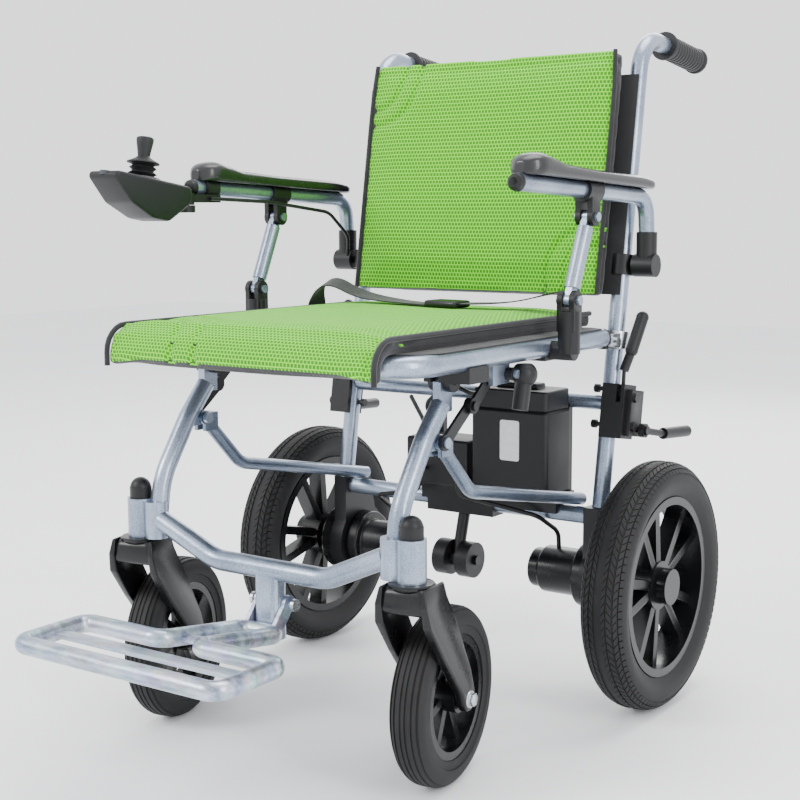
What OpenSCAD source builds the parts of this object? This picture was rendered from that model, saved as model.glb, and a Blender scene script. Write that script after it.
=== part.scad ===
// Folding power wheelchair, one module per piece.  All sizes in mm.
// Z is up, the front of the chair faces -Y, +X is the user's left.

/* [Seat and frame] */
// Distance between the two seat rails, centre to centre
seat_w = 410; // [400:1:430]
// Height of the seat rail centres above the floor
rail_z = 471; // [468:1:476]
// Outside diameter of the seat rails
rail_d = 24; // [22:0.5:25]
// Outside diameter of the back tubes and legs
tube_d = 22; // [20:0.5:22]
// Top of the back frame, at the centre of the push handle bend
back_top = 851; // [820:1:880]
// Thickness of the seat cushion
seat_pad_t = 20; // [12:1:30]
// Thickness of the back cushion
back_pad_t = 28; // [16:1:32]

/* [Armrests] */
// Width of each armrest pad
arm_pad_w = 44; // [38:1:46]
// Length of each armrest pad
arm_pad_l = 312; // [270:1:316]

/* [Wheels] */
// Radius of each rear tyre
rear_r = 158; // [150:1:160]
// Width of each rear tyre
rear_w = 58; // [44:1:60]
// Radius of each caster tyre
caster_r = 100; // [92:1:100]
// Width of each caster tyre
caster_w = 42; // [30:1:44]

/* [Footrest] */
// Width of the footrest loop, centre to centre of its side tubes
foot_w = 276; // [220:1:280]
// Outside diameter of the footrest tube
foot_d = 20; // [16:0.5:20]

/* [Power unit] */
// Width of the battery case
batt_w = 112; // [90:1:114]
// Height of the battery case
batt_h = 135; // [100:1:136]

/* [Output] */
// Piece to draw, or all of them

/* [Hidden] */

// Shift that puts the middle of the chair's length on the origin
y_mid = -8.3;
silver = [0.68, 0.73, 0.80];
black = [0.08, 0.08, 0.09];
green = [0.55, 0.88, 0.18];
zinc = [0.78, 0.80, 0.82];
fit = 0.05;

// Distances from the centre plane, all following the seat width
rail_x = seat_w / 2;
back_x = rail_x - 2;
leg_x = rail_x - 33;
stem_x = rail_x - 9;
arm_x = rail_x + 31;
wheel_x = rail_x + 64;

// Back frame: leans by this many degrees and passes through this point
lean = 9.25;
function by(z) = 209 + (z - 275) * tan(lean);
function bs(z) = z / cos(lean);

// Fold pivots as [y, z]
pR = [213, rail_z - 6];
pF = [-112, rail_z - 25];
pA = [-131, rail_z - 90];
pC = [-45, rail_z - 26];
pM = [-82, rail_z - 55];
pP3 = [by(rail_z + 89), rail_z + 89];
pP2 = [96, rail_z + 151];
pP1 = pP2 - (pP3 - pR);
foot_p = [-200, 192];
// Pivot of the release handle
pH = [pC[0] + 22, rail_z - 24];
// Caster stems, the way each one is turned and its trail
stem_y = -211;
head_z0 = 246;
head_z1 = 292;
trail = 76;
turn_l = 8;
turn_r = 13;
// Rear axle
hub_y = 225;
// Joystick pivot
joy = [-(rail_x + 10), -176, 668];

// ---- helpers ----
module at() translate([0, y_mid, 0]) children();
module both() { children(); mirror([1, 0, 0]) children(); }
module lx(x0, x1, p, d, n = 24)
  translate([x0, p[0], p[1]]) rotate([0, 90, 0]) cylinder(d = d, h = x1 - x0, $fn = n);
module rod(a, b, d, n = 24) {
  v = b - a;
  translate(a) rotate([0, acos(v[2] / norm(v)), atan2(v[1], v[0])])
    cylinder(d = d, h = norm(v), $fn = n);
}
function unit(v) = v / norm(v);
// Tube along a list of points, with a round bend of radius r at each inner one
module pipe(p, r, d, n = 24) {
  last = len(p) - 1;
  u = [for (i = [0 : last - 1]) unit(p[i + 1] - p[i])];
  t = [for (i = [0 : last]) (i == 0 || i == last) ? 0
    : r * tan(acos(u[i - 1] * u[i]) / 2)];
  k = min(2.5, 0.2 * r);
  for (i = [0 : last - 1]) rod(p[i] + u[i] * (t[i] + (i > 0 ? 0.004 : 0)),
    p[i + 1] - u[i] * (t[i + 1] + (i < last - 1 ? 0.004 : 0)), d, n);
  for (i = [1 : last - 1]) {
    // short cores that join each bend to the straights either side of it
    rod(p[i] - u[i - 1] * (t[i] + k), p[i] - u[i - 1] * (t[i] - k), d * 0.8, n);
    rod(p[i] + u[i] * (t[i] - k), p[i] + u[i] * (t[i] + k), d * 0.8, n);
    a = acos(u[i - 1] * u[i]);
    m = unit(u[i] - u[i - 1] * (u[i - 1] * u[i]));
    c = p[i] - u[i - 1] * t[i] + m * r;
    z = cross(-m, u[i - 1]);
    multmatrix([[-m[0], u[i - 1][0], z[0], c[0]], [-m[1], u[i - 1][1], z[1], c[1]],
      [-m[2], u[i - 1][2], z[2], c[2]], [0, 0, 0, 1]])
      rotate_extrude(angle = a, $fn = 48) translate([r, 0]) circle(d = d, $fn = n);
  }
}
module rsq(w, h, r) {
  translate([-w / 2 + r, -h / 2]) square([w - 2 * r, h]);
  translate([-w / 2, -h / 2 + r]) square([w, h - 2 * r]);
  for (i = [-1, 1], j = [-1, 1]) translate([i * (w / 2 - r), j * (h / 2 - r)])
    circle(r = r, $fn = 24);
}
module box(a, b) translate(a) cube(b - a);
// Frame that leans with the back tubes: local Z runs up the tube
module leaned() translate([0, by(0), 0]) rotate([-lean, 0, 0]) children();

// ---- seat ----
module rail_shape() pipe([[rail_x, 196, rail_z], [rail_x, -235, rail_z],
  [-rail_x, -235, rail_z], [-rail_x, 196, rail_z]], 55, rail_d);

module seat_rails() color(silver) at() difference() {
  union() {
    rail_shape();
    rod([-rail_x, 120, rail_z], [rail_x, 120, rail_z], 18);
    both() {
      // lug under the rail, with the pin of the upper brace link
      box([rail_x - 12, pC[0] - 9, pC[1] - 9], [rail_x - 6, pC[0] + 27, rail_z - 4]);
      lx(rail_x - 19, rail_x - 8, pC, 8);
      lx(rail_x - 21.5, rail_x - 17.5, pC, 12);
    }
    lx(rail_x - 8, rail_x + 8, pH, 6);
    lx(rail_x + 4.6, rail_x + 8, pH, 10);
  }
  both() rod([rail_x, 172, rail_z], [rail_x, 200, rail_z], rail_d - 5);
}

module rail_plugs() color(black) at() both() difference() {
  union() {
    rod([rail_x, 172, rail_z], [rail_x, 197, rail_z], rail_d - 5);
    rod([rail_x, 196, rail_z], [rail_x, 200, rail_z], rail_d);
    box([rail_x - 5, 198, pR[1] - 8], [rail_x + 5, pR[0], pR[1] + 8]);
    lx(rail_x - 5, rail_x + 5, pR, 18);
  }
  lx(rail_x - 6, rail_x + 6, pR, 8 + 2 * fit);
}

module seat_sling() color(black) at() difference() {
  union() {
    box([-rail_x, -235, rail_z + rail_d / 2 - 1.2], [rail_x, 188, rail_z + rail_d / 2 + 1.6]);
    both() rod([rail_x, -176, rail_z], [rail_x, 188, rail_z], rail_d + 3.2);
    rod([-rail_x + 58, -235, rail_z], [rail_x - 58, -235, rail_z], rail_d + 3.2);
  }
  rail_shape();
  // the cloth lies on the tops of the rails, so their sides stay bare
  both() box([rail_x - 20, -200, rail_z - 20], [rail_x + 20, 200, rail_z + 9.2]);
  both() box([rail_x - 20, pP1[0] - 17, rail_z - 20], [rail_x + 20, pP1[0] + 17, rail_z + 9]);
}

module seat_pad() color(green) at() {
  z0 = rail_z + rail_d / 2 + 1.6;
  w = 2 * rail_x - 32;
  yf = -235 - rail_d / 2 - 1.9;
  translate([0, (yf + 186) / 2, z0]) linear_extrude(seat_pad_t) rsq(w, 186 - yf + 28, 26);
  translate([0, yf - 6.9, rail_z - 16]) linear_extrude(seat_pad_t + z0 - rail_z + 8)
    rsq(w - 30, 13.8, 6);
}

module lap_belt() color(black) at() {
  z = rail_z + rail_d / 2 + 1.6 + seat_pad_t;
  box([-rail_x + 30, 78, z], [24, 106, z + 1.6]);
  box([64, 78, z], [rail_x - 30, 106, z + 1.6]);
  translate([44, 92, z]) linear_extrude(11) rsq(56, 42, 8);
  both() box([rail_x - 30, 78, z], [rail_x - 14, 106, z + 1.6]);
  both() box([rail_x - 15.6, 78, rail_z + rail_d / 2 + 1.6], [rail_x - 14, 106, z + 1.6]);
}

module post_elbows() color(black) at() both() difference() {
  union() {
    box([rail_x - 14, pP1[0] - 15, rail_z - 15], [rail_x + 8, pP1[0] + 15, rail_z + 7]);
    lx(rail_x, arm_x + 8, [pP1[0], rail_z - 3], 22);
    translate([arm_x, pP1[0], rail_z - 6]) cylinder(d = 26, h = pP1[1] - rail_z - 7, $fn = 24);
    for (s = [-1, 1]) {
      lx(arm_x + s * 7.9 - 3.4, arm_x + s * 7.9 + 3.4, pP1, 22);
      box([arm_x + s * 7.9 - 3.4, pP1[0] - 10, rail_z + 20],
        [arm_x + s * 7.9 + 3.4, pP1[0] + 10, pP1[1]]);
    }
  }
  rod([rail_x, pP1[0] - 30, rail_z], [rail_x, pP1[0] + 30, rail_z], rail_d);
  lx(arm_x - 14, arm_x + 14, pP1, 6 + 2 * fit);
  box([arm_x - 4.5, pP1[0] - 20, pP1[1] - 12], [arm_x + 4.5, pP1[0] + 20, pP1[1] + 14]);
}

module leg_saddles() color(black) at() both() {
  difference() {
    union() {
      box([leg_x - 14, pF[0] - 20, pF[1]], [rail_x + 12, pF[0] + 20, rail_z - rail_d / 2 + 5]);
      lx(leg_x - 14, leg_x + 14, pF, 24);
    }
    rod([rail_x, pF[0] - 30, rail_z], [rail_x, pF[0] + 30, rail_z], rail_d);
    box([leg_x - 5.3, pF[0] - 30, pF[1] - 20], [leg_x + 5.3, pF[0] + 30, pF[1] + 10.4]);
  }
  lx(leg_x - 17, leg_x + 16.5, pF, 8);
  lx(leg_x - 18, leg_x - 13.5, pF, 14);
}

module brace_upper() color(black) at() both() difference() {
  union() {
    lx(rail_x - 17, rail_x - 13, pC, 18);
    lx(rail_x - 17, rail_x - 13, pM, 18);
    translate([rail_x - 16.8, pC[0], pC[1]])
      rotate([atan2(pM[1] - pC[1], pM[0] - pC[0]), 0, 0])
      translate([0, 1.3, -7]) cube([3.6, norm(pM - pC) - 2.6, 14]);
    lx(rail_x - 15, rail_x - 10, pM, 11);
  }
  lx(rail_x - 18, rail_x - 12, pC, 8 + 2 * fit);
}

module release_handle() color(black) at() difference() {
  union() {
    translate([rail_x + 6, pC[0] + 40, rail_z - 26]) sphere(d = 30, $fn = 32);
    rod([rail_x + 6, pC[0] + 40, rail_z - 26], [rail_x + 6, pC[0] + 30, rail_z - 66], 19);
    lx(rail_x - 5, rail_x + 4, pH, 15);
    box([rail_x - 4, pC[0] + 22, rail_z - 31], [rail_x + 4, pC[0] + 40, rail_z - 18]);
  }
  lx(rail_x - 6, rail_x + 9, pH, 6 + 2 * fit);
  lx(rail_x + 4, rail_x + 9, pH, 11);
  // flat that clears the rail above
  box([rail_x - 30, pC[0], rail_z - rail_d / 2 - 2], [rail_x + 30, pC[0] + 70, rail_z + 30]);
}

// ---- front frame ----
module front_frame() color(silver) at() {
  both() difference() {
    union() {
      pipe([[leg_x, pF[0] - 8, pF[1] - 26], [leg_x, -152, rail_z - 86],
        [leg_x, -199, 316], [leg_x, -209, head_z0]], 90, tube_d);
      // eye plate and its strap, on the leg's axis
      lx(leg_x - 5, leg_x + 5, pF, 20);
      box([leg_x - 5, pF[0] - 15, pF[1] - 34], [leg_x + 5, pF[0] + 8, pF[1]]);
      // socket welded beside the caster head
      translate([leg_x, -210, head_z0]) cylinder(d = 28, h = head_z1 - head_z0 - 2, $fn = 32);
      translate([stem_x, stem_y, head_z0]) cylinder(d = 32, h = head_z1 - head_z0, $fn = 32);
      box([leg_x, -219, head_z0 + 2], [stem_x, -203, head_z1 - 4]);
      // lug behind the leg for the link bar and brace bolt
      lx(leg_x - 4, leg_x + 4, pA, 18);
      box([leg_x - 4, pA[0] - 22, pA[1] - 9], [leg_x + 4, pA[0], pA[1] + 9]);
      lx(leg_x + 3, rail_x - 16, pA, 8);
      lx(rail_x - 17.6, rail_x - 15, pA, 12);
      lx(leg_x - 14, leg_x - 3, pA, 8);
      lx(leg_x - 16, leg_x - 10.4, pA, 13);
    }
    translate([stem_x, stem_y, head_z0 - 1]) cylinder(d = 14 + 2 * fit, h = 41, $fn = 32);
    lx(leg_x - 6, leg_x + 6, pF, 8 + 2 * fit);
  }
  pipe([[-leg_x + 8, -210, 268], [-81, -207, 231], [81, -207, 231], [leg_x - 8, -210, 268]],
    60, 24);
  translate([0, -207, 152]) linear_extrude(76) rsq(34, 22, 8);
  lx(-17, 17, foot_p, 10);
  for (s = [-1, 1]) lx(s * 21 - 6.5, s * 21 + 6.5, foot_p, 8);
}

module stem_caps() color(black) at() both() {
  translate([stem_x, stem_y, head_z1]) cylinder(d = 26, h = 13, $fn = 24);
  translate([stem_x, stem_y, head_z1 + 12]) sphere(d = 25, $fn = 24);
}

module link_bars() color(silver) at() both() difference() {
  union() {
    // fork ends either side of the lug, then the bar behind them
    for (s = [-1, 1]) {
      lx(leg_x + s * 7 - 2.6, leg_x + s * 7 + 2.6, pA, 16);
      box([leg_x + s * 7 - 2.6, pA[0], pA[1] - 17], [leg_x + s * 7 + 2.6, pA[0] + 22, pA[1] + 5]);
    }
    box([leg_x - 9.6, pA[0] + 11, pA[1] - 17], [leg_x + 9.6, pA[0] + 22, pA[1] + 5]);
    pipe([[leg_x, pA[0] + 15, pA[1] - 10], [leg_x, -59, rail_z - 157],
      [leg_x, by(241) + 8, 241 + tube_d / 2 + 8.1]], 40, 16);
  }
  lx(leg_x - 12, leg_x + 12, pA, 8 + 2 * fit);
}

module brace_lower() color(black) at() both() difference() {
  union() {
    lx(rail_x - 22, rail_x - 18, pA, 18);
    lx(rail_x - 22, rail_x - 18, pM, 18);
    translate([rail_x - 22, pA[0], pA[1]])
      rotate([atan2(pM[1] - pA[1], pM[0] - pA[0]), 0, 0])
      translate([0, 1.3, -7]) cube([4, norm(pM - pA) - 2.6, 14]);
  }
  lx(rail_x - 30, rail_x - 10, pA, 8 + 2 * fit);
}

// ---- footrest ----
module footrest() color(silver) at() difference() {
  union() {
    nx = 25;
    yr = -356;
    yf = -451;
    zf = 183;
    pipe([[0, -224, 163], [nx, -224, 163], [nx, yr, zf], [foot_w / 2, yr, zf],
      [foot_w / 2, yf, zf], [-foot_w / 2, yf, zf], [-foot_w / 2, yr, zf], [-nx, yr, zf],
      [-nx, -224, 163], [0, -224, 163]], 14, foot_d);
    rod([-3, -224, 163], [3, -224, 163], foot_d * 0.9);
    both() {
      // hinge ears, outside the post
      lx(17.4, 22.4, foot_p, 20);
      translate([17.4, foot_p[0], foot_p[1]]) rotate([-40, 0, 0])
        translate([0, -8, -34]) cube([5, 16, 34]);
    }
    box([-foot_w / 2, (yr + yf) / 2 - 8, zf - 2], [foot_w / 2, (yr + yf) / 2 + 8, zf + 3]);
    box([-nx - 5, yr + 20, zf - 6], [nx + 5, yr + 34, zf - 1]);
  }
  lx(-40, 40, foot_p, 8 + 2 * fit);
  box([-17.3, -218.2, 140], [17.3, -180, 200]);
}

module footrest_bolts() color(zinc) at() both()
  lx(27.5, 32, foot_p, 14);

// ---- casters ----
// Everything on one caster, drawn with its stem on the Z axis and trailing to +Y
module fork() {
  difference() {
    union() {
      translate([0, 0, 222]) cylinder(d = 50, h = 22, $fn = 40);
      translate([0, 0, 243]) cylinder(d = 14, h = 36, $fn = 32);
      intersection() {
        box([-40, -26, 86], [40, trail + 24, 243]);
        union() for (s = [-1, 1]) {
          translate([s * (caster_w / 2 + 7) - 5, 0, 0]) rotate([90, 0, 90])
            linear_extrude(10) polygon([[-22, 243], [-25, 215], [-14, 190],
            [trail - 14, 100], [trail + 14, 100], [trail + 12, 120], [25, 218], [22, 243]]);
          lx(s * (caster_w / 2 + 7) - 5, s * (caster_w / 2 + 7) + 5, [trail, caster_r], 30);
        }
      }
      box([-caster_w / 2 - 10, -22, 214], [caster_w / 2 + 10, 22, 243]);
      lx(-caster_w / 2 - 17, caster_w / 2 + 17, [trail, caster_r], 10);
      for (s = [-1, 1]) lx(s * (caster_w / 2 + 14.5) - 3, s * (caster_w / 2 + 14.5) + 3,
        [trail, caster_r], 18, 32);
    }
    // room for the tyre
    lx(-caster_w / 2 - 1.6, caster_w / 2 + 1.6, [trail, caster_r], 2 * caster_r + 12, 64);
  }
  lx(-caster_w / 2 - 4, caster_w / 2 + 4, [trail, caster_r], 10);
}
module caster_rim() difference() {
  union() {
    rotate([0, 90, 0]) {
      translate([0, 0, -caster_w / 2]) cylinder(d = 34, h = caster_w, $fn = 32);
      rotate_extrude($fn = 64) translate([caster_r - 40, -caster_w / 2 + 4])
        square([9, caster_w - 8]);
    }
    for (i = [0 : 6]) rotate([i * 360 / 7, 0, 0])
      box([-6, -5, 14], [6, 5, caster_r - 36]);
  }
  lx(-40, 40, [0, 0], 10 + 2 * fit, 32);
}
module caster_tyre() rotate([0, 90, 0]) rotate_extrude($fn = 64) {
  translate([caster_r - 31, -caster_w / 2 + 3]) square([17, caster_w - 6]);
  translate([caster_r - 22, -caster_w / 2]) square([9, caster_w]);
  polygon([[caster_r - 13.2, -caster_w / 2], [caster_r - 5, -caster_w / 2 + 3],
    [caster_r - 1, -caster_w / 2 + 9], [caster_r, -caster_w / 2 + 15],
    [caster_r, caster_w / 2 - 15], [caster_r - 1, caster_w / 2 - 9],
    [caster_r - 5, caster_w / 2 - 3], [caster_r - 13.2, caster_w / 2]]);
}
module on_left() at() translate([stem_x, stem_y, 0]) rotate([0, 0, turn_l]) children();
module on_right() at() translate([-stem_x, stem_y, 0]) rotate([0, 0, turn_r]) children();
module caster_fork_left() color(black) on_left() fork();
module caster_fork_right() color(black) on_right() fork();
module caster_rim_left() color(black) on_left() translate([0, trail, caster_r]) caster_rim();
module caster_rim_right() color(black) on_right() translate([0, trail, caster_r]) caster_rim();
module caster_tyre_left() color(black) on_left() translate([0, trail, caster_r]) caster_tyre();
module caster_tyre_right() color(black) on_right() translate([0, trail, caster_r])
  caster_tyre();

// ---- back frame ----
back_dir = [0, 0.9937, -0.112];
module back_tubes() color(silver) at() {
  both() pipe([[back_x, by(230), 230], [back_x, by(back_top), back_top],
    [back_x, by(back_top), back_top] + back_dir * 165], 48, tube_d);
  rod([-back_x, by(241), 241], [back_x, by(241), 241], tube_d);
  rod([-back_x, by(385), 385], [back_x, by(385), 385], tube_d - 3);
}

module back_clamps() color(silver) at() both() difference() {
  union() {
    leaned() translate([back_x, 0, bs(pR[1]) - 11]) cylinder(d = 34, h = 22, $fn = 32);
    for (s = [-1, 1]) {
      lx(rail_x + s * 7.9 - 2.5, rail_x + s * 7.9 + 2.5, pR, 20);
      box([rail_x + s * 7.9 - 2.5, pR[0], pR[1] - 10],
        [rail_x + s * 7.9 + 2.5, by(pR[1]) - 6, pR[1] + 10]);
    }
  }
  leaned() translate([back_x, 0, bs(pR[1]) - 40]) cylinder(d = tube_d, h = 80, $fn = 24);
  lx(rail_x - 20, rail_x + 20, pR, 8);
}

module fold_bolts() color(zinc) at() both() {
  lx(rail_x - 12, rail_x + 12, pR, 8);
  lx(rail_x + 10.4, rail_x + 16, pR, 14);
  lx(rail_x - 16, rail_x - 10.4, pR, 14);
}

module push_grips() color(black) at() both() {
  v = [back_x, by(back_top), back_top];
  difference() {
    union() {
      rod(v + back_dir * 66, v + back_dir * 174, 32);
      rod(v + back_dir * 66, v + back_dir * 72, 37);
      rod(v + back_dir * 168, v + back_dir * 174, 35);
    }
    rod(v + back_dir * 60, v + back_dir * 165, tube_d);
  }
}

module back_sling() color(black) at() leaned() difference() {
  s0 = bs(rail_z + 49);
  s1 = bs(back_top) - 50;
  union() {
    box([-back_x, -tube_d / 2 - 1.6, s0], [back_x, -tube_d / 2 + 1.2, s1]);
    both() translate([back_x, 0, s0]) cylinder(d = tube_d + 3.2, h = s1 - s0, $fn = 24);
  }
  both() translate([back_x, 0, 0]) cylinder(d = tube_d, h = 900, $fn = 24);
  // the cloth is fixed to the fronts of the tubes, so the rest of each tube stays bare
  both() box([back_x - 20, -7.4, s0 - 1], [back_x + 20, 20, s1 + 1]);
  both() box([back_x - 20, -30, bs(pP3[1]) - 16], [back_x + 20, 20, bs(pP3[1]) + 16]);
}

module back_pad() color(green) at() leaned() {
  s0 = bs(rail_z + 47);
  s1 = bs(back_top) - 26;
  w = 2 * back_x - 32;
  translate([0, -tube_d / 2 - 1.6, (s0 + s1) / 2]) rotate([90, 0, 0])
    linear_extrude(back_pad_t) rsq(w, s1 - s0, 26);
}

module arm_pivots() color(black) at() both() {
  difference() {
    leaned() translate([back_x, 0, bs(pP3[1]) - 13]) cylinder(d = 30, h = 26, $fn = 32);
    leaned() translate([back_x, 0, bs(pP3[1]) - 40]) cylinder(d = tube_d, h = 80, $fn = 24);
  }
  lx(back_x + 12.5, arm_x + 4, pP3, 10, 32);
}

// ---- drive ----
module motor_brackets() color(black) at() both() difference() {
  union() {
    box([back_x - 14, hub_y - 40, rear_r + 30], [back_x + 6, hub_y + 20, 262]);
    lx(back_x - 14, back_x + 6, [hub_y, rear_r], 104, 48);
  }
  lx(back_x - 15, back_x + 7, [hub_y, rear_r], 70, 48);
  leaned() translate([back_x, 0, bs(225)]) cylinder(d = tube_d, h = 80, $fn = 24);
  box([back_x - 50, hub_y - 60, 255], [back_x + 50, hub_y + 60, 300]);
  rod([-back_x, by(241), 241], [back_x, by(241), 241], tube_d);
}

module gear_motors() color(black) at() both() {
  lx(back_x + 6, back_x + 27, [hub_y, rear_r], 92, 48);
  lx(back_x - 15, back_x + 7, [hub_y, rear_r], 70, 48);
  lx(back_x - 32, back_x - 14, [hub_y, rear_r], 84, 48);
  lx(back_x - 88, back_x - 32, [hub_y, rear_r], 62, 40);
  lx(back_x - 104, back_x - 88, [hub_y, rear_r], 52, 40);
  lx(back_x + 26, wheel_x + 14, [hub_y, rear_r], 14, 32);
}

module rear_rim() difference() {
  union() {
    rotate([0, 90, 0]) {
      translate([0, 0, -24]) cylinder(d = 46, h = 50, $fn = 40);
      translate([0, 0, -20]) cylinder(d = 62, h = 30, $fn = 40);
      rotate_extrude($fn = 80) translate([rear_r - 54, -rear_w / 2 + 8])
        square([10, rear_w - 16]);
    }
    for (i = [0 : 4]) rotate([i * 72 + 18, 0, 0]) for (s = [-1, 1])
      rotate([s * 13, 0, 0]) box([-14, -6, 24], [8, 6, rear_r - 48]);
  }
  lx(-60, 14.5, [0, 0], 14 + 2 * fit, 32);
}
module rear_tyre() rotate([0, 90, 0]) rotate_extrude($fn = 80) {
  w = rear_w / 2;
  polygon([[rear_r - 44, -w + 10], [rear_r - 44, w - 10], [rear_r - 34, w - 3],
    [rear_r - 20, w], [rear_r - 10, w - 4], [rear_r - 3, w - 13], [rear_r, w - 24],
    [rear_r, -w + 24], [rear_r - 3, -w + 13], [rear_r - 10, -w + 4], [rear_r - 20, -w],
    [rear_r - 34, -w + 3]]);
}
module at_wheel(s) at() translate([s * wheel_x, hub_y, rear_r])
  mirror([s < 0 ? 1 : 0, 0, 0]) children();
module rear_rim_left() color(black) at_wheel(1) rear_rim();
module rear_rim_right() color(black) at_wheel(-1) rear_rim();
module rear_tyre_left() color(black) at_wheel(1) rear_tyre();
module rear_tyre_right() color(black) at_wheel(-1) rear_tyre();

// ---- brakes ----
brk_p = [by(396) - 4, 398];
brk_h = [by(356) + 16, 352];
module brake_housings() color(black) at() both() difference() {
  union() {
    leaned() box([back_x - 4, -17, bs(342)], [back_x + 27, 17, bs(410)]);
    leaned() box([back_x + 20, -8, bs(346)], [back_x + 34, 26, bs(404)]);
    for (z = [358, 394]) lx(back_x + 33, back_x + 38, [by(z), z], 12);
    for (z = [358, 403]) {
      lx(back_x - 18, back_x - 4, [by(z), z], 6);
      lx(back_x - 22, back_x - 16, [by(z), z], 11);
    }
    lx(back_x + 30, back_x + 47, brk_h, 8);
    lx(back_x + 46.3, back_x + 49, brk_h, 12);
    lx(back_x + 10, back_x + 22.5, brk_p, 6);
  }
  leaned() translate([back_x, 0, bs(300)]) cylinder(d = tube_d, h = 150, $fn = 24);
  difference() {
    box([back_x + 16, brk_p[0] - 50, brk_p[1] - 8], [back_x + 22.4, brk_p[0] + 22, brk_p[1] + 60]);
    lx(back_x + 10, back_x + 23, brk_p, 6);
  }
}
module brake_paddle() difference() {
  p = [back_x + 19.2, brk_p[0], brk_p[1]];
  union() {
  lx(back_x + 16.5, back_x + 21.9, brk_p, 13);
  rod(p, p + [0, 3, 34], 5);
  rod(p + [0, 2, 30], p + [8, 7, 56], 12);
  rod(p + [8, 7, 56], p + [11, 30, 96], 16);
  translate(p + [11, 30, 96]) sphere(d = 16.4, $fn = 24);
  translate(p + [8, 7, 56]) sphere(d = 16.4, $fn = 24);
  }
  lx(back_x + 10, back_x + 26, brk_p, 6 + 2 * fit);
}
module brake_paddle_left() color(black) at() brake_paddle();
module brake_paddle_right() color(black) at() mirror([1, 0, 0]) brake_paddle();
module brake_handle() difference() {
  p = [back_x + 42.2, brk_h[0], brk_h[1]];
  union() {
    lx(back_x + 38.3, back_x + 46, brk_h, 18);
    rod(p + [0.64, 8, -1.6], p + [4, 50, -10], 9);
    rod(p + [4, 50, -10], p + [10, 112, -14], 15);
  }
  lx(back_x + 30, back_x + 60, brk_h, 8 + 2 * fit);
}
module brake_handle_left() color(black) at() brake_handle();
module brake_handle_right() color(black) at() mirror([1, 0, 0]) brake_handle();

// ---- battery and electronics ----
bx1 = rail_x - 51;
by0 = by(385) - (tube_d - 3) / 2 - 67;
bz0 = 268;
module battery_tray() color(black) at() difference() {
  union() {
    box([-70, by0 + 6, bz0 - 5], [bx1 + 2, by0 + 72, bz0]);
    box([-60, by(241) - 16, 241.2], [bx1 - 6, by(241) + 4, bz0 - 4]);
    for (x = [-60, bx1 - 20]) box([x, by0 + 67.2, bz0 - 4], [x + 16, by(385), 385]);
  }
  rod([-back_x, by(241), 241], [back_x, by(241), 241], tube_d);
  rod([-back_x, by(385), 385], [back_x, by(385), 385], tube_d - 3);
}
module battery_case() color(black) at()
  translate([bx1 - batt_w / 2, by0 + 33, bz0]) linear_extrude(batt_h - 26) rsq(batt_w, 66, 6);
module battery_lid() color(black) at() {
  translate([bx1 - batt_w / 2, by0 + 33, bz0 + batt_h - 26]) linear_extrude(26)
    rsq(batt_w - 3, 63, 6);
  box([bx1 - batt_w / 2 - 30, by0 + 22, bz0 + batt_h - 1],
    [bx1 - batt_w / 2 + 30, by0 + 44, bz0 + batt_h + 7]);
}
module drive_controller() color(black) at()
  translate([-14, by0 + 33, bz0]) linear_extrude(62) rsq(96, 62, 5);
module wiring() color(black) at() {
  both() pipe([[back_x - 70, hub_y, rear_r + 31.35], [back_x - 70, hub_y - 2, rear_r + 52],
    [back_x - 76, by(241) - 26, 238],
    [30, by0 - 14, 262], [30, by0 - 14, 290], [30, by0 + 1.98, 290]], 10, 6, 12);
  pipe([[-20, by0 + 10, 330.02], [-20, by0 + 10, 350], [-20, by0 - 14, 378],
    [20, by0 - 16, 410], [52, by0 - 16, 396], [52, by0 + 1.48, 396]], 8, 6, 12);
  pipe([[-44, by0 + 20, 330.02], [-44, by0 + 20, 348], [-96, by(385) - 12, 374]], 8, 6, 12);
}
module tipper_bracket() color(black) at() difference() {
  union() {
    box([-52, by(241) - 14, 225], [52, by(241) + 14, 240.8]);
    rod([0, by(241), 228], [0, 187, 172], 16);
    lx(-6.5, 6.5, [186, 164], 22);
    lx(-29, 29, [186, 164], 8);
    for (s = [-1, 1]) lx(s * 30 - 2, s * 30 + 2, [186, 164], 13);
  }
  rod([-back_x, by(241), 241], [back_x, by(241), 241], tube_d);
}
module tipper_roller() difference() {
  lx(8, 27.5, [186, 164], 48, 40);
  lx(0, 40, [186, 164], 8 + 2 * fit);
}
module tipper_roller_left() color(black) at() tipper_roller();
module tipper_roller_right() color(black) at() mirror([1, 0, 0]) tipper_roller();

// ---- armrests ----
module armrest_posts() color(silver) at() both() {
  a = [arm_x, pP1[0], pP1[1]];
  b = [arm_x, pP2[0], pP2[1]];
  u = unit(b - a);
  rod(a + u * 14, b - u * 14, 19);
  translate([arm_x - 4, a[1], a[2]]) rotate([atan2(u[2], u[1]), 0, 0])
    for (y = [2, norm(b - a) - 18]) translate([0, y, -7]) cube([8, 16, 14]);
  for (p = [pP1, pP2]) {
    lx(arm_x - 4.2, arm_x + 4.2, p, 16);
    lx(arm_x - 12, arm_x + 12, p, 6);
    lx(arm_x + 11.5, arm_x + 15, p, 11);
    lx(arm_x - 15, arm_x - 11.5, p, 11);
  }
}
arm_f = [arm_x, -66, rail_z + 189];
arm_b = [arm_x, 252, rail_z + 175];
arm_e = [arm_x, pP3[0] + 2, rail_z + 122];
module arm_shape() pipe([arm_f, arm_b, arm_e], 28, 20);
module arm_tubes() color(silver) at() both() arm_shape();
arm_tilt = atan2(arm_b[2] - arm_f[2], arm_b[1] - arm_f[1]);
module along_arm() translate(arm_f) rotate([arm_tilt, 0, 0]) children();
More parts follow.
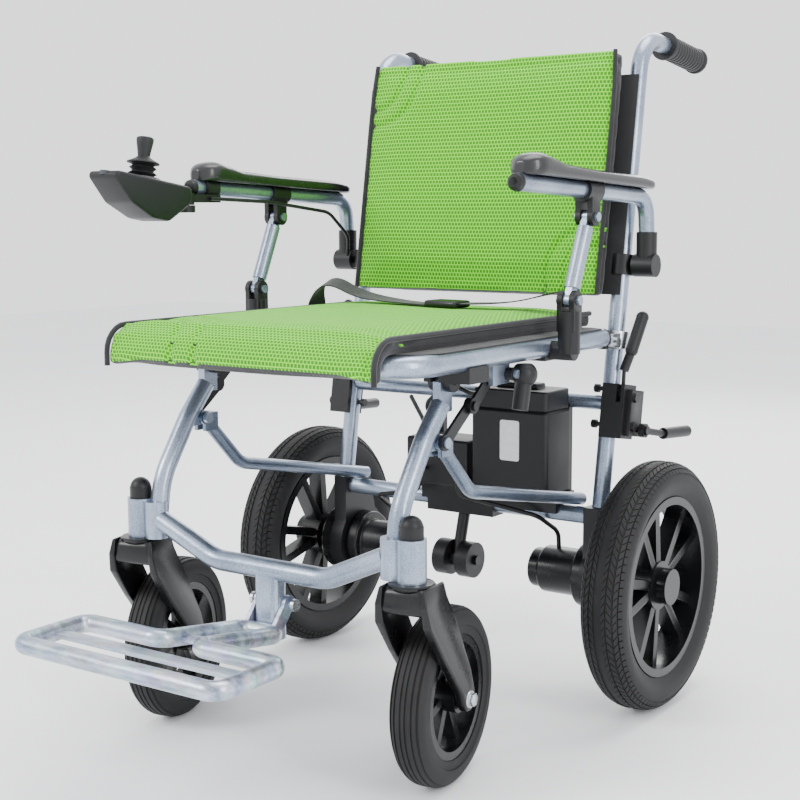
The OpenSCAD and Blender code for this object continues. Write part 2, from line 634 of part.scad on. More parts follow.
module arm_brackets() color(black) at() both() difference() {
  union() {
    along_arm() translate([0, pP2[0] - arm_f[1] - 17, 0]) rotate([-90, 0, 0])
      cylinder(d = 28, h = 34, $fn = 32);
    for (s = [-1, 1]) {
      lx(arm_x + s * 7.9 - 3.4, arm_x + s * 7.9 + 3.4, pP2, 22);
      box([arm_x + s * 7.9 - 3.4, pP2[0] - 10, pP2[1]],
        [arm_x + s * 7.9 + 3.4, pP2[0] + 10, pP2[1] + 28]);
    }
  }
  arm_shape();
  along_arm() box([-20, 0, 8], [20, 400, 30]);
  lx(arm_x - 14, arm_x + 14, pP2, 6 + 2 * fit);
  box([arm_x - 4.5, pP2[0] - 20, pP2[1] - 14], [arm_x + 4.5, pP2[0] + 20, pP2[1] + 13]);
}
module arm_elbows() color(black) at() both() difference() {
  union() {
    lx(arm_x - 14.5, arm_x + 14.5, pP3, 29, 32);
    translate([arm_x, pP3[0] + 2, pP3[1]]) cylinder(d = 26, h = rail_z + 131 - pP3[1], $fn = 32);
  }
  arm_shape();
  lx(back_x, arm_x + 5, pP3, 10 + 2 * fit, 32);
}
module arm_pads() color(black) at() both() difference() {
  along_arm() intersection() {
    translate([0, arm_pad_l / 2 + 4, 5]) linear_extrude(40) rsq(arm_pad_w, arm_pad_l, 18);
    translate([-40, 0, 0]) rotate([90, 0, 90]) linear_extrude(80)
      polygon([[4, 8], [arm_pad_l + 4, 8], [arm_pad_l + 4, 17], [arm_pad_l - 14, 22],
      [70, 24], [50, 30], [24, 33], [8, 27], [4, 20]]);
  }
  arm_shape();
}

// ---- joystick ----
module joystick_clamp() color(black) at() difference() {
  union() {
    translate(arm_f + [-2 * arm_x, 0, 0]) rotate([arm_tilt, 0, 0])
      translate([0, 14, 0]) rotate([-90, 0, 0]) cylinder(d = 29, h = 22, $fn = 32);
    box([-arm_x + 2, arm_f[1] - 18, arm_f[2] - 19], [-arm_x + 16, arm_f[1] + 34, arm_f[2] - 9]);
    translate([-arm_x + 9, arm_f[1] - 22, arm_f[2] - 22]) cylinder(d = 20, h = 15, $fn = 32);
  }
  mirror([1, 0, 0]) {
    arm_shape();
    along_arm() box([-20, 0, 8], [20, 100, 30]);
  }
  translate([-arm_x + 9, arm_f[1] - 22, arm_f[2] - 30])
    cylinder(d = 8 + 2 * fit, h = 40, $fn = 24);
}
sw = [-arm_x + 9, arm_f[1] - 22];
module joystick_arm() color(black) at() {
  translate([sw[0], sw[1], arm_f[2] - 22.4 - 9]) cylinder(d = 22, h = 9, $fn = 32);
  translate([sw[0], sw[1], arm_f[2] - 25]) cylinder(d = 8, h = 20, $fn = 24);
  translate([sw[0], sw[1], arm_f[2] - 6.6]) cylinder(d = 15, h = 4, $fn = 24);
  box([sw[0] - 8, joy[1] - 6, arm_f[2] - 31.4], [sw[0] + 8, sw[1], arm_f[2] - 23.4]);
}
module in_case() translate(joy) rotate([-9, 0, 0]) children();
module joystick_case() color(black) at() difference() {
  in_case() intersection() {
    translate([0, -38, -34]) linear_extrude(32) rsq(62, 124, 16);
    translate([-40, -38, 0]) rotate([90, 0, 90]) linear_extrude(80)
      polygon([[-62, -4], [-60, -12], [10, -32], [62, -32], [62, -8], [56, -2], [-58, -2]]);
  }
  in_case() translate([0, 0, -22]) cylinder(d = 34, h = 30, $fn = 40);
  in_case() translate([0, -58, -9]) cylinder(d = 14.4, h = 12, $fn = 32);
  box([sw[0] - 8, joy[1] - 6, arm_f[2] - 31.4], [sw[0] + 8, sw[1], arm_f[2] - 23.4]);
}
module power_button() color(zinc) at() in_case()
  translate([0, -58, -5]) cylinder(d = 14.2, h = 5, $fn = 32);
module joystick_gimbal() color(zinc) at() in_case() difference() {
  union() {
    rod([0, -16.6, -12], [0, 16.6, -12], 5);
    translate([0, 0, -15]) cylinder(d = 22, h = 6, $fn = 32);
  }
  translate([0, 0, -20]) cylinder(d = 16, h = 20, $fn = 32);
}
module joystick_stick() color(black) at() in_case() {
  lx(-5, 5, [0, -12], 12, 32);
  translate([0, 0, -12]) cylinder(d = 7, h = 46, $fn = 24);
  translate([0, 0, 26]) cylinder(d = 15, h = 7, $fn = 24);
  translate([0, 0, 33]) cylinder(d1 = 15, d2 = 21, h = 10, $fn = 24);
  translate([0, 0, 43]) cylinder(d = 21, h = 7, $fn = 24);
}
module joystick_gaiter() color(black) at() in_case() difference() {
  for (i = [0 : 3]) translate([0, 0, -2 + i * 6.9])
    cylinder(d1 = 40 - i * 7, d2 = 34 - i * 7, h = 6.9, $fn = 32);
  translate([0, 0, -3]) cylinder(d = 7.2, h = 40, $fn = 24);
  translate([0, 0, -2.1]) cylinder(d1 = 34, d2 = 9, h = 23, $fn = 32);
}
module joystick_cable() color(black) at() mirror([1, 0, 0])
  pipe([[arm_x - 18.45, arm_f[1] + 12, arm_f[2] - 14], [arm_x - 18.45, 60, arm_f[2] - 18],
    [arm_x - 18, 190, arm_f[2] - 32], [arm_x - 18, pP3[0] - 20, arm_f[2] - 66],
    [arm_x - 15, pP3[0] - 19, pP3[1] + 6]], 18, 5, 12);

seat_rails();
rail_plugs();
seat_sling();
seat_pad();
lap_belt();
post_elbows();
leg_saddles();
brace_upper();
release_handle();
front_frame();
stem_caps();
link_bars();
brace_lower();
footrest();
footrest_bolts();
caster_fork_left();
caster_fork_right();
caster_rim_left();
caster_rim_right();
caster_tyre_left();
caster_tyre_right();
back_tubes();
back_clamps();
fold_bolts();
push_grips();
back_sling();
back_pad();
arm_pivots();
motor_brackets();
gear_motors();
rear_rim_left();
rear_rim_right();
rear_tyre_left();
rear_tyre_right();
brake_housings();
brake_paddle_left();
brake_paddle_right();
brake_handle_left();
brake_handle_right();
battery_tray();
battery_case();
battery_lid();
drive_controller();
wiring();
tipper_bracket();
tipper_roller_left();
tipper_roller_right();
armrest_posts();
arm_tubes();
arm_brackets();
arm_elbows();
arm_pads();
joystick_clamp();
joystick_cable();
joystick_arm();
joystick_case();
power_button();
joystick_gimbal();
joystick_stick();
joystick_gaiter();
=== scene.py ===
import math

import bmesh
import bpy
from mathutils import Matrix, Vector


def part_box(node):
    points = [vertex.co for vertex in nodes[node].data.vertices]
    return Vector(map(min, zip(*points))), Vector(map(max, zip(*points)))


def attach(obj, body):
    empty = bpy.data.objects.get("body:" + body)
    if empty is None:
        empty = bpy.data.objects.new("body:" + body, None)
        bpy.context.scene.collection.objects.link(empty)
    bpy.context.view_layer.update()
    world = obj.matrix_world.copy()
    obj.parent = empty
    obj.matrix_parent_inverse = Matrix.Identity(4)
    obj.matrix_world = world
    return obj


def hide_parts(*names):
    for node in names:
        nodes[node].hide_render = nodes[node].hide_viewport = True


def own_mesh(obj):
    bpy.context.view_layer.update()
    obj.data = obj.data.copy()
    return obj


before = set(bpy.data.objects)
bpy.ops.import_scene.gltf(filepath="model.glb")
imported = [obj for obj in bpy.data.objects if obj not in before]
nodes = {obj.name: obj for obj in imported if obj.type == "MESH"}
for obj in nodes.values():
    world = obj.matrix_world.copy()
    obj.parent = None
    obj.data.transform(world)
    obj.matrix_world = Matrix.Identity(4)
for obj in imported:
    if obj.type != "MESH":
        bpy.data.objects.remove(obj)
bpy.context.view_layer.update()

# ---- Camera and studio ----
# The chair stands on a plain pale floor under three large soft lamps, seen from the front left
# corner, a little above seat height.
lens = bpy.data.cameras.new("camera")
lens.lens = 64.5
lens.sensor_width = 36.0
camera = bpy.data.objects.new("camera", lens)
bpy.context.scene.collection.objects.link(camera)
camera.matrix_world = (
    Matrix.Translation((1.021, -1.422, 0.631))
    @ Matrix.Rotation(math.radians(34.9), 4, "Z")
    @ Matrix.Rotation(math.radians(90 - 7.56), 4, "X")
    @ Matrix.Rotation(math.radians(-0.23), 4, "Z")
)
bpy.context.scene.camera = camera


def lamp(name, place, target, size, power):
    made = bpy.data.lights.new(name, "AREA")
    made.shape = "RECTANGLE"
    made.size, made.size_y = size
    made.energy = power
    held = bpy.data.objects.new(name, made)
    held.location = place
    held.rotation_euler = (Vector(target) - Vector(place)).to_track_quat("-Z", "Y").to_euler()
    bpy.context.scene.collection.objects.link(held)


lamp("key_lamp", (-1.7, -2.6, 2.3), (0, 0, 0.45), (1.0, 1.3), 74)
lamp("side_lamp", (2.9, -0.9, 1.5), (0, 0, 0.45), (0.5, 2.2), 48)
lamp("top_lamp", (0.2, 0.5, 3.0), (0, 0, 0.4), (1.8, 1.8), 60)
lamp("back_lamp", (-0.8, 2.8, 1.8), (0, 0, 0.5), (1.8, 1.4), 40)


def linear(code):
    parts = [int(code[i : i + 2], 16) / 255 for i in (1, 3, 5)]
    return tuple(c / 12.92 if c <= 0.04045 else ((c + 0.055) / 1.055) ** 2.4 for c in parts) + (1.0,)


def add(tree, kind, inputs=(), **settings):
    item = tree.nodes.new("ShaderNode" + kind)
    for key, value in settings.items():
        setattr(item, key, value)
    for key, value in dict(inputs).items():
        if isinstance(value, bpy.types.NodeSocket):
            tree.links.new(value, item.inputs[key])
        else:
            item.inputs[key].default_value = value
    return item.outputs


def finish(name, **sockets):
    made = bpy.data.materials.new(name)
    made.use_nodes = True
    tree = made.node_tree
    skin = tree.nodes["Principled BSDF"]
    for key, value in sockets.items():
        skin.inputs[key.replace("_", " ")].default_value = value
    return made, tree, skin, add(tree, "TexCoord")["Object"]


world = bpy.data.worlds.new("studio")
world.use_nodes = True
world.node_tree.nodes["Background"].inputs["Color"].default_value = linear("#F7F8FA")
world.node_tree.nodes["Background"].inputs["Strength"].default_value = 1.9
bpy.context.scene.world = world

# Painted studio floor: an even, nearly white matt sheet with only a faint mottle.
floor_paint, tree, skin, place = finish("floor_paint", Roughness=0.85)
mottle = add(tree, "TexNoise", {"Vector": place, "Scale": 3.0, "Detail": 3.0})
tone = add(tree, "Mix", {0: mottle["Fac"], 6: linear("#F1F2F4"), 7: linear("#F7F8F9")}, data_type="RGBA")
tree.links.new(tone[2], skin.inputs["Base Color"])
bm = bmesh.new()
bmesh.ops.create_grid(bm, x_segments=2, y_segments=2, size=6)
mesh = bpy.data.meshes.new("floor")
bm.to_mesh(mesh)
bm.free()
floor = bpy.data.objects.new("floor", mesh)
mesh.materials.append(floor_paint)
bpy.context.scene.collection.objects.link(floor)


def dress(material, *names):
    for name in names:
        for held in nodes[name].material_slots:
            held.material = material


# ---- Silver tube frame ----
# Bent aluminium tube, powder coated in a silver hammer finish and baked before assembly.
# Seat rails, front frame with its two wheel heads, back tubes and the four armrest parts.
def silver(name, light, dark, speck, streak):
    made, tree, skin, place = finish(name, Metallic=0.82, Roughness=0.3, Coat_Weight=0.35, Coat_Roughness=0.12)
    cloud = add(tree, "TexNoise", {"Vector": place, "Scale": streak, "Detail": 4.0, "Roughness": 0.6})
    grain = add(tree, "TexNoise", {"Vector": place, "Scale": speck, "Detail": 2.0})
    both = add(tree, "Math", {0: cloud["Fac"], 1: grain["Fac"]}, operation="ADD")
    level = add(tree, "MapRange", {"Value": both[0], "From Min": 0.75, "From Max": 1.25})
    # the colour moves between a pale blue silver and a darker one, in clouds and in fine specks
    tone = add(tree, "Mix", {0: level[0], 6: linear(dark), 7: linear(light)}, data_type="RGBA")
    tree.links.new(tone[2], skin.inputs["Base Color"])
    gloss = add(tree, "MapRange", {"Value": grain["Fac"], "To Min": 0.22, "To Max": 0.4})
    tree.links.new(gloss[0], skin.inputs["Roughness"])
    # the hammer finish: shallow dimples about two millimetres apart
    dimple = add(tree, "TexVoronoi", {"Vector": place, "Scale": 420.0})
    bump = add(tree, "Bump", {"Height": dimple["Distance"], "Strength": 0.14, "Distance": 0.0006})
    tree.links.new(bump[0], skin.inputs["Normal"])
    return made


tube_paint = silver("silver_hammer_paint", "#A7B2C2", "#6B788C", 900.0, 9.0)
dress(tube_paint, "seat_rails", "front_frame", "back_tubes", "arm_tubes", "armrest_posts")

# Link bars: flat steel bar from each wheel head back under the battery, in a darker blue grey coat.
bar_paint = silver("blue_grey_bar_paint", "#8592A6", "#4E5A6C", 700.0, 7.0)
dress(bar_paint, "link_bars")

# Footrest: tube and flat slats welded in one piece, hot dipped in zinc, so it is mottled in
# blue grey streaks and flakes where the frame is even.
zinc_dip, tree, skin, place = finish("dipped_zinc", Metallic=0.85, Roughness=0.34, Coat_Weight=0.2)
flake = add(tree, "TexVoronoi", {"Vector": place, "Scale": 70.0, "Randomness": 1.0})
long = add(tree, "Mapping", {"Vector": place, "Scale": (1.0, 5.0, 5.0)})
streak = add(tree, "TexNoise", {"Vector": long["Vector"], "Scale": 14.0, "Detail": 6.0, "Roughness": 0.7})
level = add(tree, "MapRange", {"Value": streak["Fac"], "From Min": 0.36, "From Max": 0.64})
tone = add(tree, "Mix", {0: level[0], 6: linear("#7C8899"), 7: linear("#C3CBD5")}, data_type="RGBA")
fleck = add(tree, "Mix", {0: 0.18, 6: tone[2], 7: flake["Color"]}, data_type="RGBA", blend_type="SOFT_LIGHT")
tree.links.new(fleck[2], skin.inputs["Base Color"])
gloss = add(tree, "MapRange", {"Value": streak["Fac"], "To Min": 0.24, "To Max": 0.46})
tree.links.new(gloss[0], skin.inputs["Roughness"])
bump = add(tree, "Bump", {"Height": streak["Fac"], "Strength": 0.12, "Distance": 0.001})
tree.links.new(bump[0], skin.inputs["Normal"])
dress(zinc_dip, "footrest")

# ---- Moulded black fittings ----
# Glass filled nylon elbows, saddles, caps, pivots and handles, clamped or screwed on the tubes.
# A fine spark grain from the mould breaks up the shine, and corners are rubbed a little paler.
def moulded(name, deep, worn, rough, grain_scale, grain_depth):
    made, tree, skin, place = finish(name, Roughness=rough, Specular_IOR_Level=0.34)
    haze = add(tree, "TexNoise", {"Vector": place, "Scale": 24.0, "Detail": 4.0})
    tone = add(tree, "Mix", {0: haze["Fac"], 6: linear(deep), 7: linear(worn)}, data_type="RGBA")
    tree.links.new(tone[2], skin.inputs["Base Color"])
    gloss = add(tree, "MapRange", {"Value": haze["Fac"], "To Min": rough - 0.08, "To Max": rough + 0.1})
    tree.links.new(gloss[0], skin.inputs["Roughness"])
    pits = add(tree, "TexNoise", {"Vector": place, "Scale": grain_scale, "Detail": 2.0})
    bump = add(tree, "Bump", {"Height": pits["Fac"], "Strength": grain_depth, "Distance": 0.0004})
    tree.links.new(bump[0], skin.inputs["Normal"])
    return made


nylon = moulded("black_nylon", "#09090A", "#131315", 0.42, 1600.0, 0.35)
dress(nylon, "post_elbows", "leg_saddles", "stem_caps", "rail_plugs", "arm_pivots", "arm_brackets")
dress(nylon, "arm_elbows", "release_handle", "joystick_clamp", "joystick_arm", "joystick_case")
dress(nylon, "brake_housings", "brake_paddle_left", "brake_paddle_right")
dress(nylon, "brake_handle_left", "brake_handle_right", "tipper_roller_left", "tipper_roller_right")

# Folding braces, motor brackets, battery tray and rear roller bracket: pressed steel with a
# thin satin black coat.
steel_coat = moulded("black_coated_steel", "#08080A", "#121316", 0.36, 700.0, 0.12)
dress(steel_coat, "brace_upper", "brace_lower", "motor_brackets", "battery_tray", "tipper_bracket")

# Caster forks and wheel rims: cast alloy and glass filled nylon in a smooth half gloss black.
gloss_coat = moulded("half_gloss_black", "#070708", "#0F1012", 0.27, 300.0, 0.08)
dress(gloss_coat, "caster_fork_left", "caster_fork_right", "caster_rim_left", "caster_rim_right")
dress(gloss_coat, "rear_rim_left", "rear_rim_right", "gear_motors")

# Battery and drive electronics: vacuum formed cases with a soft leather grain.
case_skin = moulded("black_case_grain", "#0B0B0D", "#141518", 0.48, 520.0, 0.3)
dress(case_skin, "battery_case", "battery_lid", "drive_controller")

# Bolts, the folding clamps and the joystick ring: bright zinc plate, brushed by handling.
zinc, tree, skin, place = finish("bright_zinc", Metallic=1.0, Roughness=0.28)
drawn = add(tree, "Mapping", {"Vector": place, "Scale": (30.0, 30.0, 400.0)})
hair = add(tree, "TexNoise", {"Vector": drawn["Vector"], "Scale": 8.0, "Detail": 2.0})
tone = add(tree, "Mix", {0: hair["Fac"], 6: linear("#B4B9C0"), 7: linear("#D9DCE0")}, data_type="RGBA")
tree.links.new(tone[2], skin.inputs["Base Color"])
gloss = add(tree, "MapRange", {"Value": hair["Fac"], "To Min": 0.18, "To Max": 0.38})
tree.links.new(gloss[0], skin.inputs["Roughness"])
dress(zinc, "fold_bolts", "footrest_bolts", "back_clamps", "joystick_gimbal")

# Power key: grey rubber button in the controller's nose.
key_rubber = moulded("grey_key_rubber", "#2E3134", "#3C4044", 0.55, 900.0, 0.2)
dress(key_rubber, "power_button")


# ---- Tyres ----
# Pneumatic drive tyres with moulded blocks in rows on each shoulder and a smoother running band,
# and solid caster tyres with fine ribs. Black rubber, dusty in the grooves, paler on the wear.
def rubber(name, deep, dusty, rough):
    made, tree, skin, place = finish(name, Roughness=rough, Specular_IOR_Level=0.35)
    dust = add(tree, "TexNoise", {"Vector": place, "Scale": 38.0, "Detail": 5.0, "Roughness": 0.65})
    level = add(tree, "MapRange", {"Value": dust["Fac"], "From Min": 0.4, "From Max": 0.75})
    tone = add(tree, "Mix", {0: level[0], 6: linear(deep), 7: linear(dusty)}, data_type="RGBA")
    tree.links.new(tone[2], skin.inputs["Base Color"])
    gloss = add(tree, "MapRange", {"Value": dust["Fac"], "To Min": rough - 0.12, "To Max": rough + 0.14})
    tree.links.new(gloss[0], skin.inputs["Roughness"])
    skin_bump = add(tree, "TexNoise", {"Vector": place, "Scale": 900.0, "Detail": 2.0})
    bump = add(tree, "Bump", {"Height": skin_bump["Fac"], "Strength": 0.25, "Distance": 0.0004})
    tree.links.new(bump[0], skin.inputs["Normal"])
    return made


tyre_rubber = rubber("tyre_rubber", "#0D0D0E", "#1B1B1C", 0.62)


def turned(profile, steps):
    # a closed outline of (along the axle, radius) points turned once round the X axis
    bm = bmesh.new()
    ring = [bm.verts.new((x, 0, r)) for x, r in profile]
    edges = [bm.edges.new((a, b)) for a, b in zip(ring, ring[1:] + ring[:1])]
    bmesh.ops.spin(
        bm, geom=ring + edges, cent=(0, 0, 0), axis=(1, 0, 0), dvec=(0, 0, 0),
        angle=math.tau, steps=steps, use_merge=True,
    )
    bmesh.ops.remove_doubles(bm, verts=bm.verts, dist=0.00002)
    bmesh.ops.recalc_face_normals(bm, faces=bm.faces)
    return bm


def built(name, bm, materials, body, stands_for=(), smooth=True):
    mesh = bpy.data.meshes.new(name)
    bm.to_mesh(mesh)
    bm.free()
    for material in materials:
        mesh.materials.append(material)
    if smooth:
        mesh.shade_smooth()
        mesh.set_sharp_from_angle(angle=math.radians(38))
    made = bpy.data.objects.new(name, mesh)
    bpy.context.scene.collection.objects.link(made)
    if body:
        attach(made, body)
    if stands_for:
        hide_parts(*stands_for)
    return made


def hub_of(node):
    low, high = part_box(node)
    return (Vector(low) + Vector(high)) / 2


for side in ("left", "right"):
    w, r = 0.029, 0.1563
    outline = [
        (-w + 0.010, r - 0.0425), (-w + 0.003, r - 0.032), (-w, r - 0.020), (-w + 0.0022, r - 0.0125),
        (-w + 0.0062, r - 0.0072), (-w + 0.0112, r - 0.0030), (-w + 0.0182, r - 0.0006), (-0.0045, r),
    ]
    outline += [(-x, radius) for x, radius in reversed(outline)]
    bm = turned(outline, 100)
    # the blocks: every face of the three bands on each shoulder is raised by itself
    blocks = []
    for face in bm.faces:
        middle = face.calc_center_median()
        radius = math.hypot(middle.y, middle.z)
        if 0.0052 < abs(middle.x) < w - 0.0008 and radius > r - 0.0115:
            blocks.append(face)
    bmesh.ops.inset_individual(bm, faces=blocks, thickness=0.00075, depth=0.0)
    bmesh.ops.inset_individual(bm, faces=blocks, thickness=0.0003, depth=0.0015)
    # each band is turned a little against the next, so that the grooves run in steps
    for vertex in bm.verts:
        turn = math.radians(1.6) * math.sin(abs(vertex.co.x) * 420.0) * (abs(vertex.co.x) > 0.004)
        vertex.co = Matrix.Rotation(turn, 3, "X") @ vertex.co
    bmesh.ops.translate(bm, verts=bm.verts, vec=hub_of("rear_tyre_" + side))
    built(
        "drive_tyre_" + side, bm, [tyre_rubber], "rear_wheel_" + side,
        ["rear_tyre_" + side],
    )

for side, turn in (("left", 8.0), ("right", 13.0)):
    w, r = 0.021, 0.100
    half = [
        (-w + 0.0030, r - 0.0305), (-w + 0.0018, r - 0.0215), (-w, r - 0.0205), (-w, r - 0.0135),
        (-w + 0.0016, r - 0.0085), (-w + 0.0046, r - 0.0045), (-w + 0.0052, r - 0.0056),
        (-w + 0.0064, r - 0.0050), (-w + 0.0070, r - 0.0026), (-w + 0.0100, r - 0.0010),
        (-w + 0.0106, r - 0.0022), (-w + 0.0118, r - 0.0020), (-w + 0.0124, r - 0.0003),
        (-0.0040, r), (-0.0034, r - 0.0013), (-0.0022, r - 0.0013), (-0.0016, r),
    ]
    bm = turned(half + [(-x, radius) for x, radius in reversed(half)], 120)
    bmesh.ops.rotate(bm, verts=bm.verts, matrix=Matrix.Rotation(math.radians(turn), 3, "Z"))
    bmesh.ops.translate(bm, verts=bm.verts, vec=hub_of("caster_tyre_" + side))
    built(
        "caster_tread_" + side, bm, [tyre_rubber], "caster_wheel_" + side,
        ["caster_tyre_" + side],
    )

# ---- Seat cushion and back cushion ----
# Foam pads in lime green spacer mesh with black side walls and a corded black binding, laid on
# the slings. The cover is sewn through in two curved channels at one corner of each pad.
def spacer_mesh(name, along):
    made, tree, skin, place = finish(name, Roughness=0.85, Sheen_Weight=0.12, Sheen_Roughness=0.5, Specular_IOR_Level=0.25)
    parts = add(tree, "SeparateXYZ", {"Vector": place})
    run = add(tree, "VectorMath", {0: place, 1: along}, operation="DOT_PRODUCT")
    flat = add(tree, "CombineXYZ", {"X": parts["X"], "Y": run["Value"]})
    # rows of small upright eyelets, 5 mm apart, each row set half a step over
    eyelet = add(
        tree, "TexBrick",
        {"Vector": flat["Vector"], "Scale": 1.0, "Mortar Size": 0.00115, "Mortar Smooth": 0.85,
         "Brick Width": 0.0049, "Row Height": 0.0052},
        offset=0.5,
    )
    ribs = add(tree, "TexWave", {"Vector": flat["Vector"], "Scale": 190.0, "Distortion": 0.6}, bands_direction="Y")
    cloud = add(tree, "TexNoise", {"Vector": place, "Scale": 16.0, "Detail": 3.0})
    tone = add(tree, "Mix", {0: cloud["Fac"], 6: linear("#7EEA00"), 7: linear("#94FA0C")}, data_type="RGBA")
    # painted shade: the troughs between the ribs get a darker green (#66CC00) and the sunken eyelet cells a dark green
    # (#36800A), shade painted into the recesses of the mesh
    rib_trough_shade_mix = add(tree, "Mix", {0: ribs["Fac"], 6: linear("#66CC00"), 7: tone[2]}, data_type="RGBA")
    eyelet_shade_mix = add(tree, "Mix", {0: eyelet["Fac"], 6: linear("#36800A"), 7: rib_trough_shade_mix[2]}, data_type="RGBA")
    tree.links.new(eyelet_shade_mix[2], skin.inputs["Base Color"])
    relief = add(tree, "Math", {0: ribs["Fac"], 1: 0.25, 2: eyelet["Fac"]}, operation="MULTIPLY_ADD")
    bump = add(tree, "Bump", {"Height": relief[0], "Strength": 0.55, "Distance": 0.0012})
    tree.links.new(bump[0], skin.inputs["Normal"])
    return made


def woven(name, deep, pale, thread):
    made, tree, skin, place = finish(name, Roughness=0.82, Sheen_Weight=0.25, Sheen_Roughness=0.4)
    warp = add(tree, "TexWave", {"Vector": place, "Scale": thread, "Distortion": 0.3}, bands_direction="X")
    weft = add(tree, "TexWave", {"Vector": place, "Scale": thread, "Distortion": 0.3}, bands_direction="DIAGONAL")
    cross = add(tree, "Math", {0: warp["Fac"], 1: weft["Fac"]}, operation="MULTIPLY")
    lint = add(tree, "TexNoise", {"Vector": place, "Scale": 55.0, "Detail": 5.0})
    mixed = add(tree, "Math", {0: cross[0], 1: 0.45, 2: lint["Fac"]}, operation="MULTIPLY_ADD")
    level = add(tree, "MapRange", {"Value": mixed[0], "From Min": 0.35, "From Max": 1.0})
    tone = add(tree, "Mix", {0: level[0], 6: linear(deep), 7: linear(pale)}, data_type="RGBA")
    tree.links.new(tone[2], skin.inputs["Base Color"])
    bump = add(tree, "Bump", {"Height": cross[0], "Strength": 0.4, "Distance": 0.0006})
    tree.links.new(bump[0], skin.inputs["Normal"])
    return made


seat_mesh = spacer_mesh("green_spacer_mesh_seat", (0.0, -1.0, -1.0))
back_mesh = spacer_mesh("green_spacer_mesh_back", (0.0, 0.16, 0.985))
binding = woven("black_binding", "#0E0E10", "#222226", 330.0)


def slab(size, cuts):
    # a flat block of foam, cut into a grid of pieces about 12 mm wide so that it can bend
    bm = bmesh.new()
    bmesh.ops.create_cube(bm, size=1.0)
    bmesh.ops.scale(bm, verts=bm.verts, vec=size)
    for axis in range(3):
        lines = [
            e for e in bm.edges
            if abs(abs((e.verts[0].co - e.verts[1].co).normalized()[axis]) - 1) < 1e-3
        ]
        bmesh.ops.subdivide_edges(bm, edges=lines, cuts=cuts[axis], use_grid_fill=True)
    return bm


def puffed(name, bm, cap, share):
    # an even 5 mm grid is blown up like a cushion, no point moving more than its share of cap
    mesh = bpy.data.meshes.new(name)
    bm.to_mesh(mesh)
    bm.free()
    held = bpy.data.objects.new(name, mesh)
    bpy.context.scene.collection.objects.link(held)
    even = held.modifiers.new("even_grid", "REMESH")
    even.mode = "VOXEL"
    even.voxel_size = 0.005
    look = bpy.context.evaluated_depsgraph_get()
    held.data = bpy.data.meshes.new_from_object(held.evaluated_get(look))
    held.modifiers.clear()
    rest = [v.co.copy() for v in held.data.vertices]
    blown = rest
    air = held.modifiers.new("air", "CLOTH")
    air.settings.use_pressure = True
    air.settings.uniform_pressure_force = 4.0
    air.settings.effector_weights.gravity = 0.0
    for step in range(1, 21):
        bpy.context.scene.frame_set(step)
    look = bpy.context.evaluated_depsgraph_get()
    blown = [v.co.copy() for v in held.evaluated_get(look).data.vertices]
    held.modifiers.clear()
    bpy.context.scene.frame_set(1)
    for vertex, start, end in zip(held.data.vertices, rest, blown):
        step = end - start
        limit = cap * share(start)
        if step.length > limit:
            step *= limit / step.length
        vertex.co = start + step
    finer = held.modifiers.new("finer", "SUBSURF")
    finer.levels = finer.render_levels = 1
    look = bpy.context.evaluated_depsgraph_get()
    held.data = bpy.data.meshes.new_from_object(held.evaluated_get(look))
    held.modifiers.clear()
    return held


def channel(dx, dy, a, b):
    # distance from a sewn line that rounds a corner, a wide and b deep
    reach = (abs(dx / a) ** 2.6 + abs(dy / b) ** 2.6) ** (1 / 2.6)
    return (reach - 1) * (a + b) / 2


def groove(distance, depth, width):
    return depth * math.exp(-((distance / width) ** 2))


rail_top = 0.4846
seat_low, seat_high = (Vector(corner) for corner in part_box("seat_pad"))
half_w = seat_high.x - 0.0005
turn_y, turn_z, inner = -0.2433, 0.4706, 0.0143
thick = 0.0165
quarter = inner * math.pi / 2
drop = 0.0150
length = (seat_high.y - turn_y) + quarter + drop
bm = slab((2 * half_w, length, thick), (29, 36, 1))
for vertex in bm.verts:
    along = vertex.co.y + length / 2
    height = vertex.co.z + thick / 2
    if along > drop + quarter:
        vertex.co.y = turn_y + along - drop - quarter
        vertex.co.z = turn_z + inner + height
    elif along > drop:
        swing = (drop + quarter - along) / inner
        vertex.co.y = turn_y - math.sin(swing) * (inner + height)
        vertex.co.z = turn_z + math.cos(swing) * (inner + height)
    else:
        vertex.co.y = turn_y - inner - height
        vertex.co.z = turn_z - (drop - along)


def seat_share(point):
    # held flat where it lies on the sling and at the bound edges, free in the middle
    edge = min(1.0, (half_w - abs(point.x)) / 0.05, (seat_high.y - point.y) / 0.04)
    upper = 1.0 if point.z > rail_top + 0.006 or point.y < turn_y - inner - 0.004 else 0.12
    return max(0.0, edge) * upper


seat = puffed("seat_cushion", bm, 0.007, seat_share)
seat.data.materials.append(seat_mesh)
seat.data.materials.append(binding)
normals = [vertex.normal.copy() for vertex in seat.data.vertices]
for vertex, normal in zip(seat.data.vertices, normals):
    p = vertex.co.copy()
    if p.z > rail_top + 0.009 or p.y < turn_y - inner - 0.009:
        run = -(p.y - turn_y) if p.z > turn_z else quarter + (turn_z - p.z)
        dx, dy = p.x + half_w, run - 0.036
        sink = groove(channel(dx, dy, 0.128, 0.105), 0.0034, 0.0042) if dy < 0.02 else 0
        sink += groove(channel(dx, dy, 0.094, 0.078), 0.0034, 0.0042) if dy < 0.02 else 0
        sink += groove(half_w - 0.011 - abs(p.x), 0.0014, 0.003)
        sink += groove(run + 0.020, 0.0030, 0.013) - groove(run - 0.002, 0.0022, 0.006)
        lift = 0.0022 * math.exp(-(((p.y + 0.03) / 0.12) ** 2)) * max(0, 1 - abs(p.x) / half_w)
        vertex.co = p - normal * (sink - lift)
for face in seat.data.polygons:
    side = abs(face.normal.x) > 0.62 or (face.normal.z < -0.6) or face.normal.y > 0.62
    face.material_index = 1 if side else 0
seat.data.shade_smooth()
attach(seat, "seat_frame")
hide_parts("seat_pad")
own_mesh(seat)

lean = math.radians(9.25)
back_foot = 0.1559


